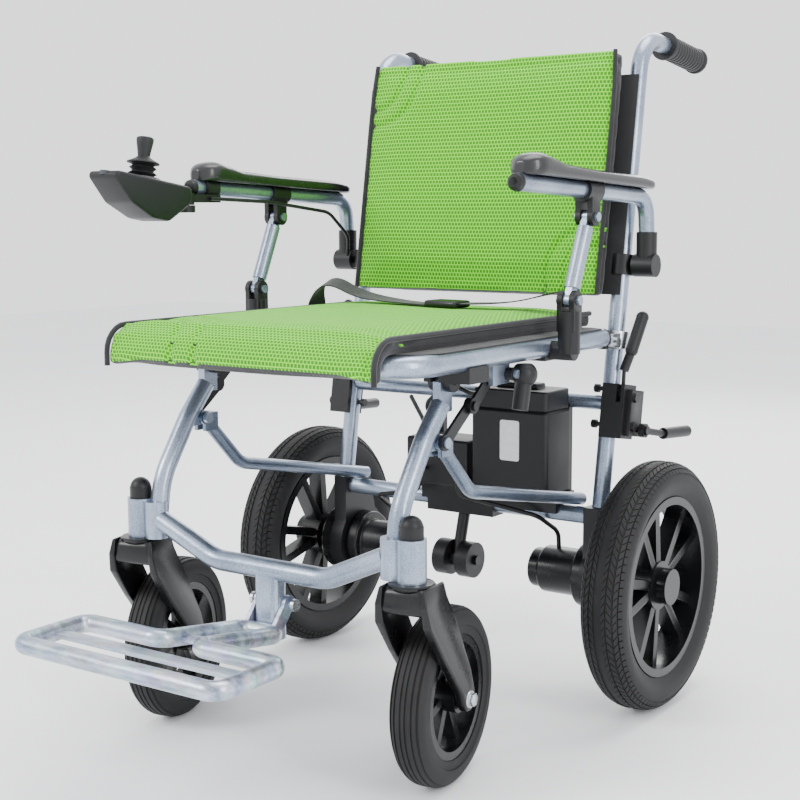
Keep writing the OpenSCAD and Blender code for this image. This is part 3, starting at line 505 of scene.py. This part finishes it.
def leaned(x, out, up):
    # a place on the leaning back: out from the tubes' centre plane, up along them
    return Vector((x, back_foot + up * math.sin(lean) + out * math.cos(lean), up * math.cos(lean) - out * math.sin(lean)))


low_s, high_s = 0.518 / math.cos(lean), 0.851 / math.cos(lean) - 0.026
front_out = -0.011 - 0.0016
back_thick = 0.022
bm = slab((2 * half_w, back_thick, high_s - low_s), (29, 1, 28))
for vertex in bm.verts:
    u, out, s = vertex.co.x, vertex.co.y, vertex.co.z + (low_s + high_s) / 2
    top = max(0.0, s - high_s + 0.05) / 0.05
    u *= 1 - 0.02 * top * top
    # the whole pad bows back a little between the two tubes
    bow = 0.004 * (1 - (u / half_w) ** 2)
    vertex.co = leaned(u, front_out - back_thick / 2 + out + bow, s)


def back_place(point):
    rise, deep = point.z, point.y - back_foot
    return point.x, deep * math.cos(lean) - rise * math.sin(lean), rise * math.cos(lean) + deep * math.sin(lean)


def back_share(point):
    u, out, s = back_place(point)
    edge = min(1.0, (half_w - abs(u)) / 0.05, (high_s - s) / 0.04, (s - low_s) / 0.04)
    return max(0.0, edge) * (1.0 if out < front_out - 0.006 else 0.12)


back = puffed("back_cushion", bm, 0.007, back_share)
back.data.materials.append(back_mesh)
back.data.materials.append(binding)
normals = [vertex.normal.copy() for vertex in back.data.vertices]
for vertex, normal in zip(back.data.vertices, normals):
    u, out, s = back_place(vertex.co)
    if out < front_out - 0.010:
        sink = groove(channel(u + half_w, s - high_s, 0.078, 0.084), 0.0036, 0.0040)
        sink += groove(channel(u + half_w, s - high_s, 0.052, 0.062), 0.0036, 0.0040)
        sink += groove(channel(u - half_w, s - low_s, 0.078, 0.084), 0.0036, 0.0040)
        sink += groove(channel(u - half_w, s - low_s, 0.052, 0.062), 0.0036, 0.0040)
        sink += groove(s - high_s + 0.013, 0.0018, 0.003)
        vertex.co = vertex.co - normal * sink
for face in back.data.polygons:
    side = abs(face.normal.x) > 0.62 or face.normal.y > 0.5 or face.normal.z < -0.8
    face.material_index = 1 if side else 0
back.data.shade_smooth()
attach(back, "back_frame")
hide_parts("back_pad")
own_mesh(back)


def strand(name, points, radius, material, body, sides=3, closed=False):
    # a round cord laid smoothly through its points
    line = bpy.data.curves.new(name, "CURVE")
    line.dimensions = "3D"
    line.bevel_depth = radius
    line.bevel_resolution = sides
    line.use_fill_caps = True
    run = line.splines.new("POLY")
    run.points.add(len(points) - 1)
    for knot, point in zip(run.points, points):
        knot.co = (*point, 1.0)
    run.use_cyclic_u = closed
    rope = bpy.data.objects.new(name + "_line", line)
    bpy.context.scene.collection.objects.link(rope)
    look = bpy.context.evaluated_depsgraph_get()
    mesh = bpy.data.meshes.new_from_object(rope.evaluated_get(look))
    bpy.data.objects.remove(rope)
    mesh.name = name
    mesh.materials.clear()
    mesh.materials.append(material)
    mesh.shade_smooth()
    made = bpy.data.objects.new(name, mesh)
    bpy.context.scene.collection.objects.link(made)
    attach(made, body)
    return made


def rounded(points, reach, steps):
    # the same run of points with every inner corner replaced by a smooth curve
    points = [Vector(p) for p in points]
    out = [points[0]]
    for before, here, after in zip(points, points[1:], points[2:]):
        a = here + (before - here).normalized() * min(reach, (before - here).length * 0.48)
        b = here + (after - here).normalized() * min(reach, (after - here).length * 0.48)
        for i in range(steps + 1):
            t = i / steps
            out.append(a * (1 - t) ** 2 + here * 2 * t * (1 - t) + b * t * t)
    return out + [points[-1]]


# Binding: a corded edge sewn round each pad where the green cover meets the black side wall.
for side in (-1, 1):
    edge = [(side * half_w, seat_high.y - 0.004, rail_top + thick), (side * half_w, turn_y, rail_top + thick)]
    for i in range(1, 7):
        swing = i / 6 * math.pi / 2
        reach = inner + thick
        edge.append((side * half_w, turn_y - math.sin(swing) * reach, turn_z + math.cos(swing) * reach))
    edge.append((side * half_w, turn_y - inner - thick, turn_z - drop))
    bead = strand("seat_binding_" + ("left" if side > 0 else "right"), edge, 0.0032, binding, "seat_frame")
    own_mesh(bead)
    rim = front_out - back_thick
    edge = [leaned(side * half_w, rim, low_s), leaned(side * half_w, rim, high_s - 0.05), leaned(side * half_w * 0.98, rim, high_s)]
    bead = strand("back_binding_" + ("left" if side > 0 else "right"), rounded(edge, 0.04, 5), 0.0030, binding, "back_frame")
    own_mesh(bead)

# ---- Slings ----
# Black nylon cloth stretched between the rails and between the back tubes, screwed down along
# the tubes, with a hemmed edge. The cushions lie on it.
sling_cloth = woven("black_sling_nylon", "#0B0B0D", "#1A1A1D", 420.0)


def cloth_between(stations, columns, thickness):
    # a grid whose rows are laid on the given places, then thickened
    bm = bmesh.new()
    bmesh.ops.create_grid(bm, x_segments=columns, y_segments=len(stations) - 1, size=0.5)
    bm.verts.ensure_lookup_table()
    for vertex in bm.verts:
        across = vertex.co.x + 0.5
        row = round((vertex.co.y + 0.5) * (len(stations) - 1))
        vertex.co = stations[row](across)
    bmesh.ops.recalc_face_normals(bm, faces=bm.faces)
    bmesh.ops.solidify(bm, geom=bm.faces, thickness=thickness)
    bmesh.ops.recalc_face_normals(bm, faces=bm.faces)
    return bm


def seat_row(y):
    half = 0.205 - 0.055 * max(0.0, (-y - 0.188) / 0.055) ** 2

    def place(across):
        x = (across * 2 - 1) * (half + 0.006)
        over = max(0.0, abs(x) - half)
        return Vector((x, y, 0.4832 - 0.0030 * (1 - (x / half) ** 2 if abs(x) < half else 0) - over * 0.22))

    return place


def tube_row(s):
    def place(across):
        x = (across * 2 - 1) * 0.209
        over = max(0.0, abs(x) - 0.203)
        return leaned(x, -0.0115 + 0.0035 * max(0, 1 - (x / 0.2) ** 2) + over * 0.3, s)

    return place


rows = [seat_row(0.178 - 0.0215 * i) for i in range(20)]
bm = cloth_between(rows, 30, 0.0016)
seat_sling = built("seat_sling_cloth", bm, [sling_cloth], "seat_frame", ["seat_sling"])
rows = [tube_row(0.528 + 0.0148 * i) for i in range(20)]
bm = cloth_between(rows, 30, 0.0016)
back_sling = built("back_sling_cloth", bm, [sling_cloth], "back_frame", ["back_sling"])

# ---- Lap belt ----
# Two lengths of 28 mm black webbing sewn to the sling at the back corners, lying slack over the
# cushion and closed by a moulded buckle in the middle.
webbing = woven("black_belt_webbing", "#0C0C0E", "#1D1D20", 520.0)


def strap(name, points, width, thickness, upright):
    # a flat band that follows its points, with its width turned between flat and on edge
    path = rounded(points, 0.03, 6)
    bm = bmesh.new()
    bmesh.ops.create_grid(bm, x_segments=len(path) - 1, y_segments=2, size=0.5)
    for vertex in bm.verts:
        i = round((vertex.co.x + 0.5) * (len(path) - 1))
        across = vertex.co.y * width
        here = path[i]
        before, after = path[max(0, i - 1)], path[min(len(path) - 1, i + 1)]
        along = (after - before).normalized()
        t = i / (len(path) - 1)
        twist = upright[0] + (upright[1] - upright[0]) * t
        flat_side = Vector((0, 0, 1)).cross(along).normalized()
        tall_side = along.cross(flat_side).normalized()
        vertex.co = here + (flat_side * math.cos(twist) + tall_side * math.sin(twist)) * across
    bmesh.ops.recalc_face_normals(bm, faces=bm.faces)
    bmesh.ops.solidify(bm, geom=bm.faces, thickness=thickness)
    bmesh.ops.recalc_face_normals(bm, faces=bm.faces)
    return bm


top_z = seat_high.z + 0.0052
near_strap = [
    (0.196, 0.150, 0.489), (0.188, 0.146, top_z + 0.022), (0.168, 0.128, top_z + 0.020),
    (0.128, 0.100, top_z + 0.008), (0.066, 0.084, top_z + 0.006),
]
far_strap = [
    (-0.194, 0.120, 0.486), (-0.186, 0.112, top_z + 0.016), (-0.158, 0.110, top_z + 0.030),
    (-0.118, 0.118, top_z + 0.010), (-0.060, 0.112, top_z + 0.004), (0.020, 0.086, top_z + 0.003),
]
for name, points, turn in (
    ("lap_belt_left", near_strap, (0.25, 0.0)),
    ("lap_belt_right", far_strap, (0.5, 0.0)),
):
    bm = strap(name, points, 0.028, 0.0015, turn)
    band = built(name, bm, [webbing], "seat_frame", ["lap_belt"])
    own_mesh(band)

buckle = moulded("black_buckle_plastic", "#101012", "#1B1B1E", 0.3, 1200.0, 0.12)
bm = bmesh.new()
bmesh.ops.create_cube(bm, size=1.0)
bmesh.ops.scale(bm, verts=bm.verts, vec=(0.050, 0.034, 0.009))
bmesh.ops.bevel(bm, geom=[e for e in bm.edges], offset=0.0035, segments=3, profile=0.5, affect="EDGES", material=-1)
top = max(bm.faces, key=lambda f: f.calc_center_median().z)
bmesh.ops.inset_individual(bm, faces=[top], thickness=0.0045, depth=-0.0012)
bmesh.ops.rotate(bm, verts=bm.verts, matrix=Matrix.Rotation(math.radians(-6), 3, "Z"))
bmesh.ops.translate(bm, verts=bm.verts, vec=(0.043, 0.084, top_z + 0.0045))
clasp = built("lap_belt_buckle", bm, [buckle], "seat_frame")
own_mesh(clasp)

# ---- Armrest pads ----
# Self-skinned polyurethane foam over a steel plate, screwed up through the tube. The front end
# rises into a rounded hump and the skin is smooth and shiny.
pad_skin, tree, skin, place = finish("gloss_pu_skin", Roughness=0.26, Specular_IOR_Level=0.55)
haze = add(tree, "TexNoise", {"Vector": place, "Scale": 18.0, "Detail": 3.0})
tone = add(tree, "Mix", {0: haze["Fac"], 6: linear("#0D0D0F"), 7: linear("#19191C")}, data_type="RGBA")
tree.links.new(tone[2], skin.inputs["Base Color"])
gloss = add(tree, "MapRange", {"Value": haze["Fac"], "To Min": 0.18, "To Max": 0.34})
tree.links.new(gloss[0], skin.inputs["Roughness"])
pore = add(tree, "TexVoronoi", {"Vector": place, "Scale": 700.0})
bump = add(tree, "Bump", {"Height": pore["Distance"], "Strength": 0.08, "Distance": 0.0004})
tree.links.new(bump[0], skin.inputs["Normal"])

arm_front = Vector((0.236, -0.0743, 0.660))
arm_slope = math.atan2(-0.014, 0.318)


def pad_height(t):
    # height of the pad's crown above the tube's centre, front to back
    steps = [(0.0, 0.024), (0.035, 0.0315), (0.09, 0.0345), (0.15, 0.031), (0.24, 0.0255), (0.5, 0.0238), (0.85, 0.0240), (0.96, 0.0215), (1.0, 0.018)]
    for (a, low), (b, high) in zip(steps, steps[1:]):
        if t <= b:
            f = (t - a) / (b - a)
            f = f * f * (3 - 2 * f)
            return low + (high - low) * f
    return steps[-1][1]


for side in (-1, 1):
    bm = slab((0.044, 0.312, 1.0), (5, 34, 4))
    for vertex in bm.verts:
        t = vertex.co.y / 0.312 + 0.5
        end = min(t, 1 - t) * 0.312
        plan = math.sqrt(max(0.0, 1 - max(0.0, 1 - end / 0.021) ** 2))
        u = vertex.co.x / 0.022
        h = vertex.co.z + 0.5
        low, high = 0.0085, pad_height(t)
        crown = (high - low) * (1 - 0.20 * abs(u) ** 3)
        side_pull = 1 - 0.10 * (2 * h - 1) ** 2
        vertex.co = Vector((u * 0.0222 * max(plan, 0.32) * side_pull, t * 0.312 + 0.004, low + h * crown))
        if abs(u) < 0.6 and h < 0.1 and 0.02 < t < 0.97:
            vertex.co.z = 0.0099
    bmesh.ops.rotate(bm, verts=bm.verts, matrix=Matrix.Rotation(arm_slope, 3, "X"))
    bmesh.ops.translate(bm, verts=bm.verts, vec=Vector((side * 0.236, arm_front.y, arm_front.z)))
    bmesh.ops.recalc_face_normals(bm, faces=bm.faces)
    name = "arm_pad_" + ("left" if side > 0 else "right")
    pad = built(name, bm, [pad_skin], "armrests", ["arm_pads"], smooth=False)
    pad.data.shade_smooth()
    soft = pad.modifiers.new("rounding", "SUBSURF")
    soft.levels = soft.render_levels = 2
    # domed plug pressed in the open front end of the tube
    outline = [(0.0, 0.0001), (-0.0035, 0.0052), (-0.0012, 0.0088), (0.003, 0.0101), (0.0062, 0.0101), (0.0062, 0.0001)]
    plug_bm = turned(outline, 24)
    bmesh.ops.rotate(plug_bm, verts=plug_bm.verts, matrix=Matrix.Rotation(math.radians(90), 3, "Z"))
    bmesh.ops.rotate(plug_bm, verts=plug_bm.verts, matrix=Matrix.Rotation(arm_slope, 3, "X"))
    bmesh.ops.translate(plug_bm, verts=plug_bm.verts, vec=Vector((side * 0.236, arm_front.y - 0.0062, arm_front.z)))
    built("arm_plug_" + ("left" if side > 0 else "right"), plug_bm, [nylon], "armrests")

# ---- Push grips ----
# Moulded rubber sleeves pushed on the rear ends of the back tubes, ringed with shallow grooves,
# a flange at the inner end and a rounded cap behind.
grip_rubber = rubber("black_grip_rubber", "#131315", "#232326", 0.55)
back_dir = Vector((0, 0.9937, -0.112))
grip_root = Vector((0.203, 0.2945, 0.851))
for side in (-1, 1):
    outline = [(0.066, 0.0111), (0.066, 0.0180), (0.0675, 0.0186), (0.0705, 0.0186), (0.0722, 0.0165)]
    for i in range(11):
        at = 0.0745 + i * 0.0082
        outline += [(at, 0.0150), (at + 0.0012, 0.0161), (at + 0.0052, 0.0161), (at + 0.0064, 0.0150)]
    outline += [(0.1665, 0.0152), (0.1680, 0.0172), (0.1715, 0.0174), (0.1740, 0.0155), (0.1752, 0.0090), (0.1755, 0.0001), (0.1640, 0.0001), (0.1640, 0.0111)]
    bm = turned(outline, 40)
    turn = Vector((1, 0, 0)).rotation_difference(back_dir).to_matrix()
    bmesh.ops.rotate(bm, verts=bm.verts, matrix=turn)
    bmesh.ops.translate(bm, verts=bm.verts, vec=Vector((side * grip_root.x, grip_root.y, grip_root.z)))
    built("grip_" + ("left" if side > 0 else "right"), bm, [grip_rubber], "back_frame", ["push_grips"])

# ---- Joystick boot and knob ----
# A moulded rubber boot of three folds under a skirt, and a knob that widens to a rounded head.
stick_tilt = Matrix.Rotation(math.radians(-9), 3, "X")
joy = Vector((-0.215, -0.1843, 0.668))
boot = [
    (-0.003, 0.0085), (-0.003, 0.0178), (-0.001, 0.0188), (0.0015, 0.0150), (0.0035, 0.0128),
    (0.0055, 0.0150), (0.0068, 0.0172), (0.0080, 0.0150), (0.0098, 0.0126), (0.0120, 0.0146),
    (0.0134, 0.0164), (0.0146, 0.0148), (0.0160, 0.0124), (0.0178, 0.0150), (0.0190, 0.0196),
    (0.0204, 0.0192), (0.0222, 0.0150), (0.0252, 0.0096), (0.0275, 0.0072), (0.0275, 0.0040), (0.0, 0.0040),
]
knob = [
    (0.0262, 0.0001), (0.0262, 0.0072), (0.0300, 0.0076), (0.0360, 0.0086), (0.0430, 0.0099),
    (0.0470, 0.0104), (0.0492, 0.0100), (0.0503, 0.0082), (0.0508, 0.0001),
]
for name, outline, body, node in (
    ("joystick_boot", boot, "controller", "joystick_gaiter"),
    ("joystick_knob", knob, "stick", "joystick_stick"),
):
    bm = turned(outline, 40)
    bmesh.ops.rotate(bm, verts=bm.verts, matrix=Matrix.Rotation(math.radians(-90), 3, "Y"))
    bmesh.ops.rotate(bm, verts=bm.verts, matrix=stick_tilt)
    bmesh.ops.translate(bm, verts=bm.verts, vec=joy)
    built(name, bm, [grip_rubber], body, [node])

# ---- Cables ----
# Round black PVC leads: one from each motor up to the drive electronics, two short links to the
# battery and the cross tube, and the joystick's lead clipped along inside the armrest tube.
cable_skin = rubber("black_pvc_cable", "#0B0B0C", "#1A1A1C", 0.42)
leads = {}
for side in (-1, 1):
    leads["motor_lead_" + ("left" if side > 0 else "right")] = (0.006, "back_frame", "wiring", [
        (side * 0.133, 0.2167, 0.1888), (side * 0.133, 0.2147, 0.210), (side * 0.127, 0.1692, 0.238),
        (side * 0.030, 0.1281, 0.262), (side * 0.030, 0.1281, 0.290), (side * 0.030, 0.1443, 0.290),
    ])
leads["battery_lead"] = (0.006, "back_frame", "wiring", [
    (-0.020, 0.1521, 0.3298), (-0.020, 0.1521, 0.350), (-0.020, 0.1281, 0.378),
    (0.020, 0.1261, 0.410), (0.052, 0.1261, 0.396), (0.052, 0.1438, 0.396),
])
leads["tube_lead"] = (0.006, "back_frame", "wiring", [
    (-0.044, 0.1621, 0.3298), (-0.044, 0.1621, 0.348), (-0.096, 0.2066, 0.374),
])
leads["joystick_lead"] = (0.005, "armrests", "joystick_cable", [
    (-0.21755, -0.0623, 0.646), (-0.21755, 0.0517, 0.642), (-0.218, 0.1817, 0.628),
    (-0.218, 0.2271, 0.594), (-0.221, 0.2281, 0.566),
])
for name, (wide, body, node, points) in leads.items():
    path = rounded(points, 0.012, 8)
    lead = strand(name, path, wide / 2, cable_skin, body, sides=3)
    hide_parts(node)
    run = sum((b - a).length for a, b in zip(path, path[1:]))

# ---- Joystick controller ----
# Two moulded shells screwed together: a wedge, shallow at the nose and deep at the heel, with
# rounded corners and a raised ring round the boot.
outline = [(-0.062, 0.0), (-0.064, -0.008), (-0.034, -0.033), (0.004, -0.046), (0.030, -0.046), (0.058, -0.022), (0.060, -0.008), (0.052, 0.0)]
bm = bmesh.new()
ring = [bm.verts.new((-0.031, y, z)) for y, z in outline]
face = bm.faces.new(ring)
wall = bmesh.ops.extrude_face_region(bm, geom=[face])
bmesh.ops.translate(bm, verts=[v for v in wall["geom"] if isinstance(v, bmesh.types.BMVert)], vec=(0.062, 0, 0))
bmesh.ops.recalc_face_normals(bm, faces=bm.faces)
for vertex in bm.verts:
    nose = max(0.0, -vertex.co.y - 0.03) / 0.034
    keel = max(0.0, -vertex.co.z) / 0.046
    vertex.co.x *= 1 - 0.20 * nose - 0.24 * keel
bmesh.ops.bevel(bm, geom=list(bm.edges), offset=0.0045, segments=3, profile=0.5, affect="EDGES", material=-1, clamp_overlap=True)
bmesh.ops.rotate(bm, verts=bm.verts, matrix=stick_tilt)
bmesh.ops.translate(bm, verts=bm.verts, vec=joy)
built("joystick_shell", bm, [case_skin], "controller", ["joystick_case"])
collar = turned([(-0.0015, 0.0182), (0.0008, 0.0186), (0.0022, 0.0202), (0.0022, 0.0216), (0.0002, 0.0232), (-0.0015, 0.0232)], 40)
bmesh.ops.rotate(collar, verts=collar.verts, matrix=Matrix.Rotation(math.radians(-90), 3, "Y"))
bmesh.ops.rotate(collar, verts=collar.verts, matrix=stick_tilt)
bmesh.ops.translate(collar, verts=collar.verts, vec=joy)
built("joystick_collar", collar, [nylon], "controller")


# ---- Rounded moulding edges ----
# The moulded and cast fittings leave their tools with small edge radii that catch the light, so
# each keeps its form and gets its corners rounded.
def softened(node, width, material, body):
    bm = bmesh.new()
    bm.from_mesh(nodes[node].data)
    bmesh.ops.transform(bm, matrix=nodes[node].matrix_world, verts=bm.verts)
    bmesh.ops.remove_doubles(bm, verts=bm.verts, dist=0.00004)
    bmesh.ops.dissolve_limit(bm, angle_limit=math.radians(1.5), verts=bm.verts, edges=bm.edges)
    made = built(node + "_moulding", bm, [material], body, [node])
    soft = made.modifiers.new("edges", "BEVEL")
    soft.width = width
    soft.segments = 2
    soft.limit_method = "ANGLE"
    soft.angle_limit = math.radians(40)
    soft.use_clamp_overlap = True
    return made


for node, width, material, body, slot in (
    ("battery_case", 0.003, case_skin, "back_frame", "black_case"),
    ("battery_lid", 0.002, case_skin, "back_frame", "black_case"),
    ("drive_controller", 0.003, case_skin, "back_frame", "black_case"),
    ("post_elbows", 0.0022, nylon, "seat_frame", "black_nylon"),
    ("leg_saddles", 0.0022, nylon, "seat_frame", "black_nylon"),
    ("brake_housings", 0.0018, nylon, "back_frame", "black_nylon"),
    ("arm_brackets", 0.0015, nylon, "armrests", "black_nylon"),
    ("joystick_arm", 0.0012, nylon, "controller", "black_nylon"),
    ("release_handle", 0.0015, nylon, "release_handle", "black_nylon"),
    ("motor_brackets", 0.0015, steel_coat, "back_frame", "black_steel"),
    ("gear_motors", 0.0025, gloss_coat, "back_frame", "black_steel"),
    ("link_bars", 0.0015, bar_paint, "link_bars", "satin_tube"),
    ("rear_rim_left", 0.0016, gloss_coat, "rear_wheel_left", "black_nylon"),
    ("rear_rim_right", 0.0016, gloss_coat, "rear_wheel_right", "black_nylon"),
    ("caster_rim_left", 0.0014, gloss_coat, "caster_wheel_left", "black_nylon"),
    ("caster_rim_right", 0.0014, gloss_coat, "caster_wheel_right", "black_nylon"),
):
    softened(node, width, material, body)

# ---- Caster forks ----
# Cast crown drawn out of the stem in one rounded hood over the tyre, running down in two tapering
# legs to the axle. Sanded smooth and coated half gloss black.
fork_turn = {"left": 8.0, "right": 13.0}
for side, sign in (("left", 1), ("right", -1)):
    bm = bmesh.new()
    for leg in (-1, 1):
        # outline of one leg seen from the side, from the stem down to the axle eye
        outline = [
            (-0.024, 0.2440), (-0.027, 0.2260), (-0.022, 0.2040), (0.006, 0.1660), (0.036, 0.1320),
            (0.056, 0.1100), (0.062, 0.0950), (0.070, 0.0870), (0.082, 0.0870), (0.090, 0.0960),
            (0.0905, 0.1080), (0.080, 0.1330), (0.056, 0.1720), (0.030, 0.2120), (0.024, 0.2300), (0.023, 0.2440),
        ]
        ring = [bm.verts.new((leg * 0.0228, y, z)) for y, z in outline]
        face = bm.faces.new(ring)
        wall = bmesh.ops.extrude_face_region(bm, geom=[face])
        outer = [v for v in wall["geom"] if isinstance(v, bmesh.types.BMVert)]
        bmesh.ops.translate(bm, verts=outer, vec=(leg * 0.0095, 0, 0))
        for vertex in outer:
            rise = max(0.0, min(1.0, (vertex.co.z - 0.10) / 0.10))
            vertex.co.x += leg * (0.0010 - 0.0065 * max(0.0, (vertex.co.z - 0.214) / 0.03))
            vertex.co.y += (0.074 - vertex.co.y) * 0.10 * (1 - rise)
    bmesh.ops.recalc_face_normals(bm, faces=bm.faces)
    bmesh.ops.bevel(bm, geom=list(bm.edges), offset=0.0038, segments=3, profile=0.5, affect="EDGES", material=-1, clamp_overlap=True)
    # crown: a rounded block joined to both legs under the bearing ring
    block = bmesh.new()
    bmesh.ops.create_cube(block, size=1.0)
    bmesh.ops.scale(block, verts=block.verts, vec=(0.063, 0.050, 0.030))
    bmesh.ops.translate(block, verts=block.verts, vec=(0, 0, 0.2290))
    for vertex in block.verts:
        if vertex.co.z > 0.23:
            vertex.co.x *= 0.80
            vertex.co.y *= 0.88
    bmesh.ops.bevel(block, geom=list(block.edges), offset=0.009, segments=5, profile=0.5, affect="EDGES", material=-1, clamp_overlap=True)
    crown_mesh = bpy.data.meshes.new("crown")
    block.to_mesh(crown_mesh)
    block.free()
    bm.from_mesh(crown_mesh)
    bpy.data.meshes.remove(crown_mesh)
    # bearing ring under the head tube, turned about the stem
    ring_bm = turned([(0.240, 0.0005), (0.240, 0.0235), (0.2418, 0.0252), (0.2440, 0.0252), (0.2455, 0.0238), (0.2458, 0.0160), (0.2790, 0.0070), (0.2790, 0.0005)], 40)
    bmesh.ops.rotate(ring_bm, verts=ring_bm.verts, matrix=Matrix.Rotation(math.radians(-90), 3, "Y"))
    ring_mesh = bpy.data.meshes.new("ring")
    ring_bm.to_mesh(ring_mesh)
    ring_bm.free()
    bm.from_mesh(ring_mesh)
    bpy.data.meshes.remove(ring_mesh)
    low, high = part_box("caster_tyre_" + side)
    axle = (Vector(low) + Vector(high)) / 2
    spin = Matrix.Rotation(math.radians(fork_turn[side]), 3, "Z")
    stem = axle - spin @ Vector((0, 0.076, 0))
    bmesh.ops.rotate(bm, verts=bm.verts, matrix=spin)
    bmesh.ops.translate(bm, verts=bm.verts, vec=(stem.x, stem.y, 0))
    built("fork_casting_" + side, bm, [gloss_coat], "fork_" + side, ["caster_fork_" + side])
    # axle bolt and locking nut, one on each outer face of the fork
    for end in (-1, 1):
        bolt = bmesh.new()
        bmesh.ops.create_cone(bolt, cap_ends=True, segments=6, radius1=0.0078, radius2=0.0078, depth=0.0052)
        bmesh.ops.bevel(bolt, geom=list(bolt.edges), offset=0.0009, segments=2, profile=0.5, affect="EDGES", material=-1)
        washer = bmesh.new()
        bmesh.ops.create_cone(washer, cap_ends=True, segments=28, radius1=0.0100, radius2=0.0094, depth=0.0016)
        bmesh.ops.translate(washer, verts=washer.verts, vec=(0, 0, -0.0030))
        disc = bpy.data.meshes.new("washer")
        washer.to_mesh(disc)
        washer.free()
        bolt.from_mesh(disc)
        bpy.data.meshes.remove(disc)
        bmesh.ops.rotate(bolt, verts=bolt.verts, matrix=Matrix.Rotation(math.radians(90 * end), 3, "Y"))
        bmesh.ops.translate(bolt, verts=bolt.verts, vec=(end * 0.0368, 0.076, 0.100))
        bmesh.ops.rotate(bolt, verts=bolt.verts, matrix=spin)
        bmesh.ops.translate(bolt, verts=bolt.verts, vec=(stem.x, stem.y, 0))
        built("axle_bolt_" + side + ("_outer" if end * sign > 0 else "_inner"), bolt, [zinc], "fork_" + side)

# Rating plate: a blank white film label, 28 x 52 mm with small corners, stuck on the front of
# the battery. Film has a soft sheen and a faint mottle from the glue under it.
film, tree, skin, place = finish("white_label_film", Roughness=0.4, Specular_IOR_Level=0.4)
mottle = add(tree, "TexNoise", {"Vector": place, "Scale": 140.0, "Detail": 3.0})
tone = add(tree, "Mix", {0: mottle["Fac"], 6: linear("#C9CBD0"), 7: linear("#E3E4E8")}, data_type="RGBA")
tree.links.new(tone[2], skin.inputs["Base Color"])
case_low, case_high = (Vector(corner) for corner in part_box("battery_case"))
bm = bmesh.new()
bmesh.ops.create_cube(bm, size=1.0)
bmesh.ops.scale(bm, verts=bm.verts, vec=(0.028, 0.0006, 0.052))
corners = [e for e in bm.edges if abs(e.verts[0].co.y - e.verts[1].co.y) > 0.0004]
bmesh.ops.bevel(bm, geom=corners, offset=0.003, affect="EDGES", segments=4, profile=0.5, material=-1)
across = case_low.x + 0.52 * (case_high.x - case_low.x)
bmesh.ops.translate(bm, verts=bm.verts, vec=(across, case_low.y - 0.0002, case_low.z + 0.070))
built("rating_plate", bm, [film], "back_frame", smooth=False)
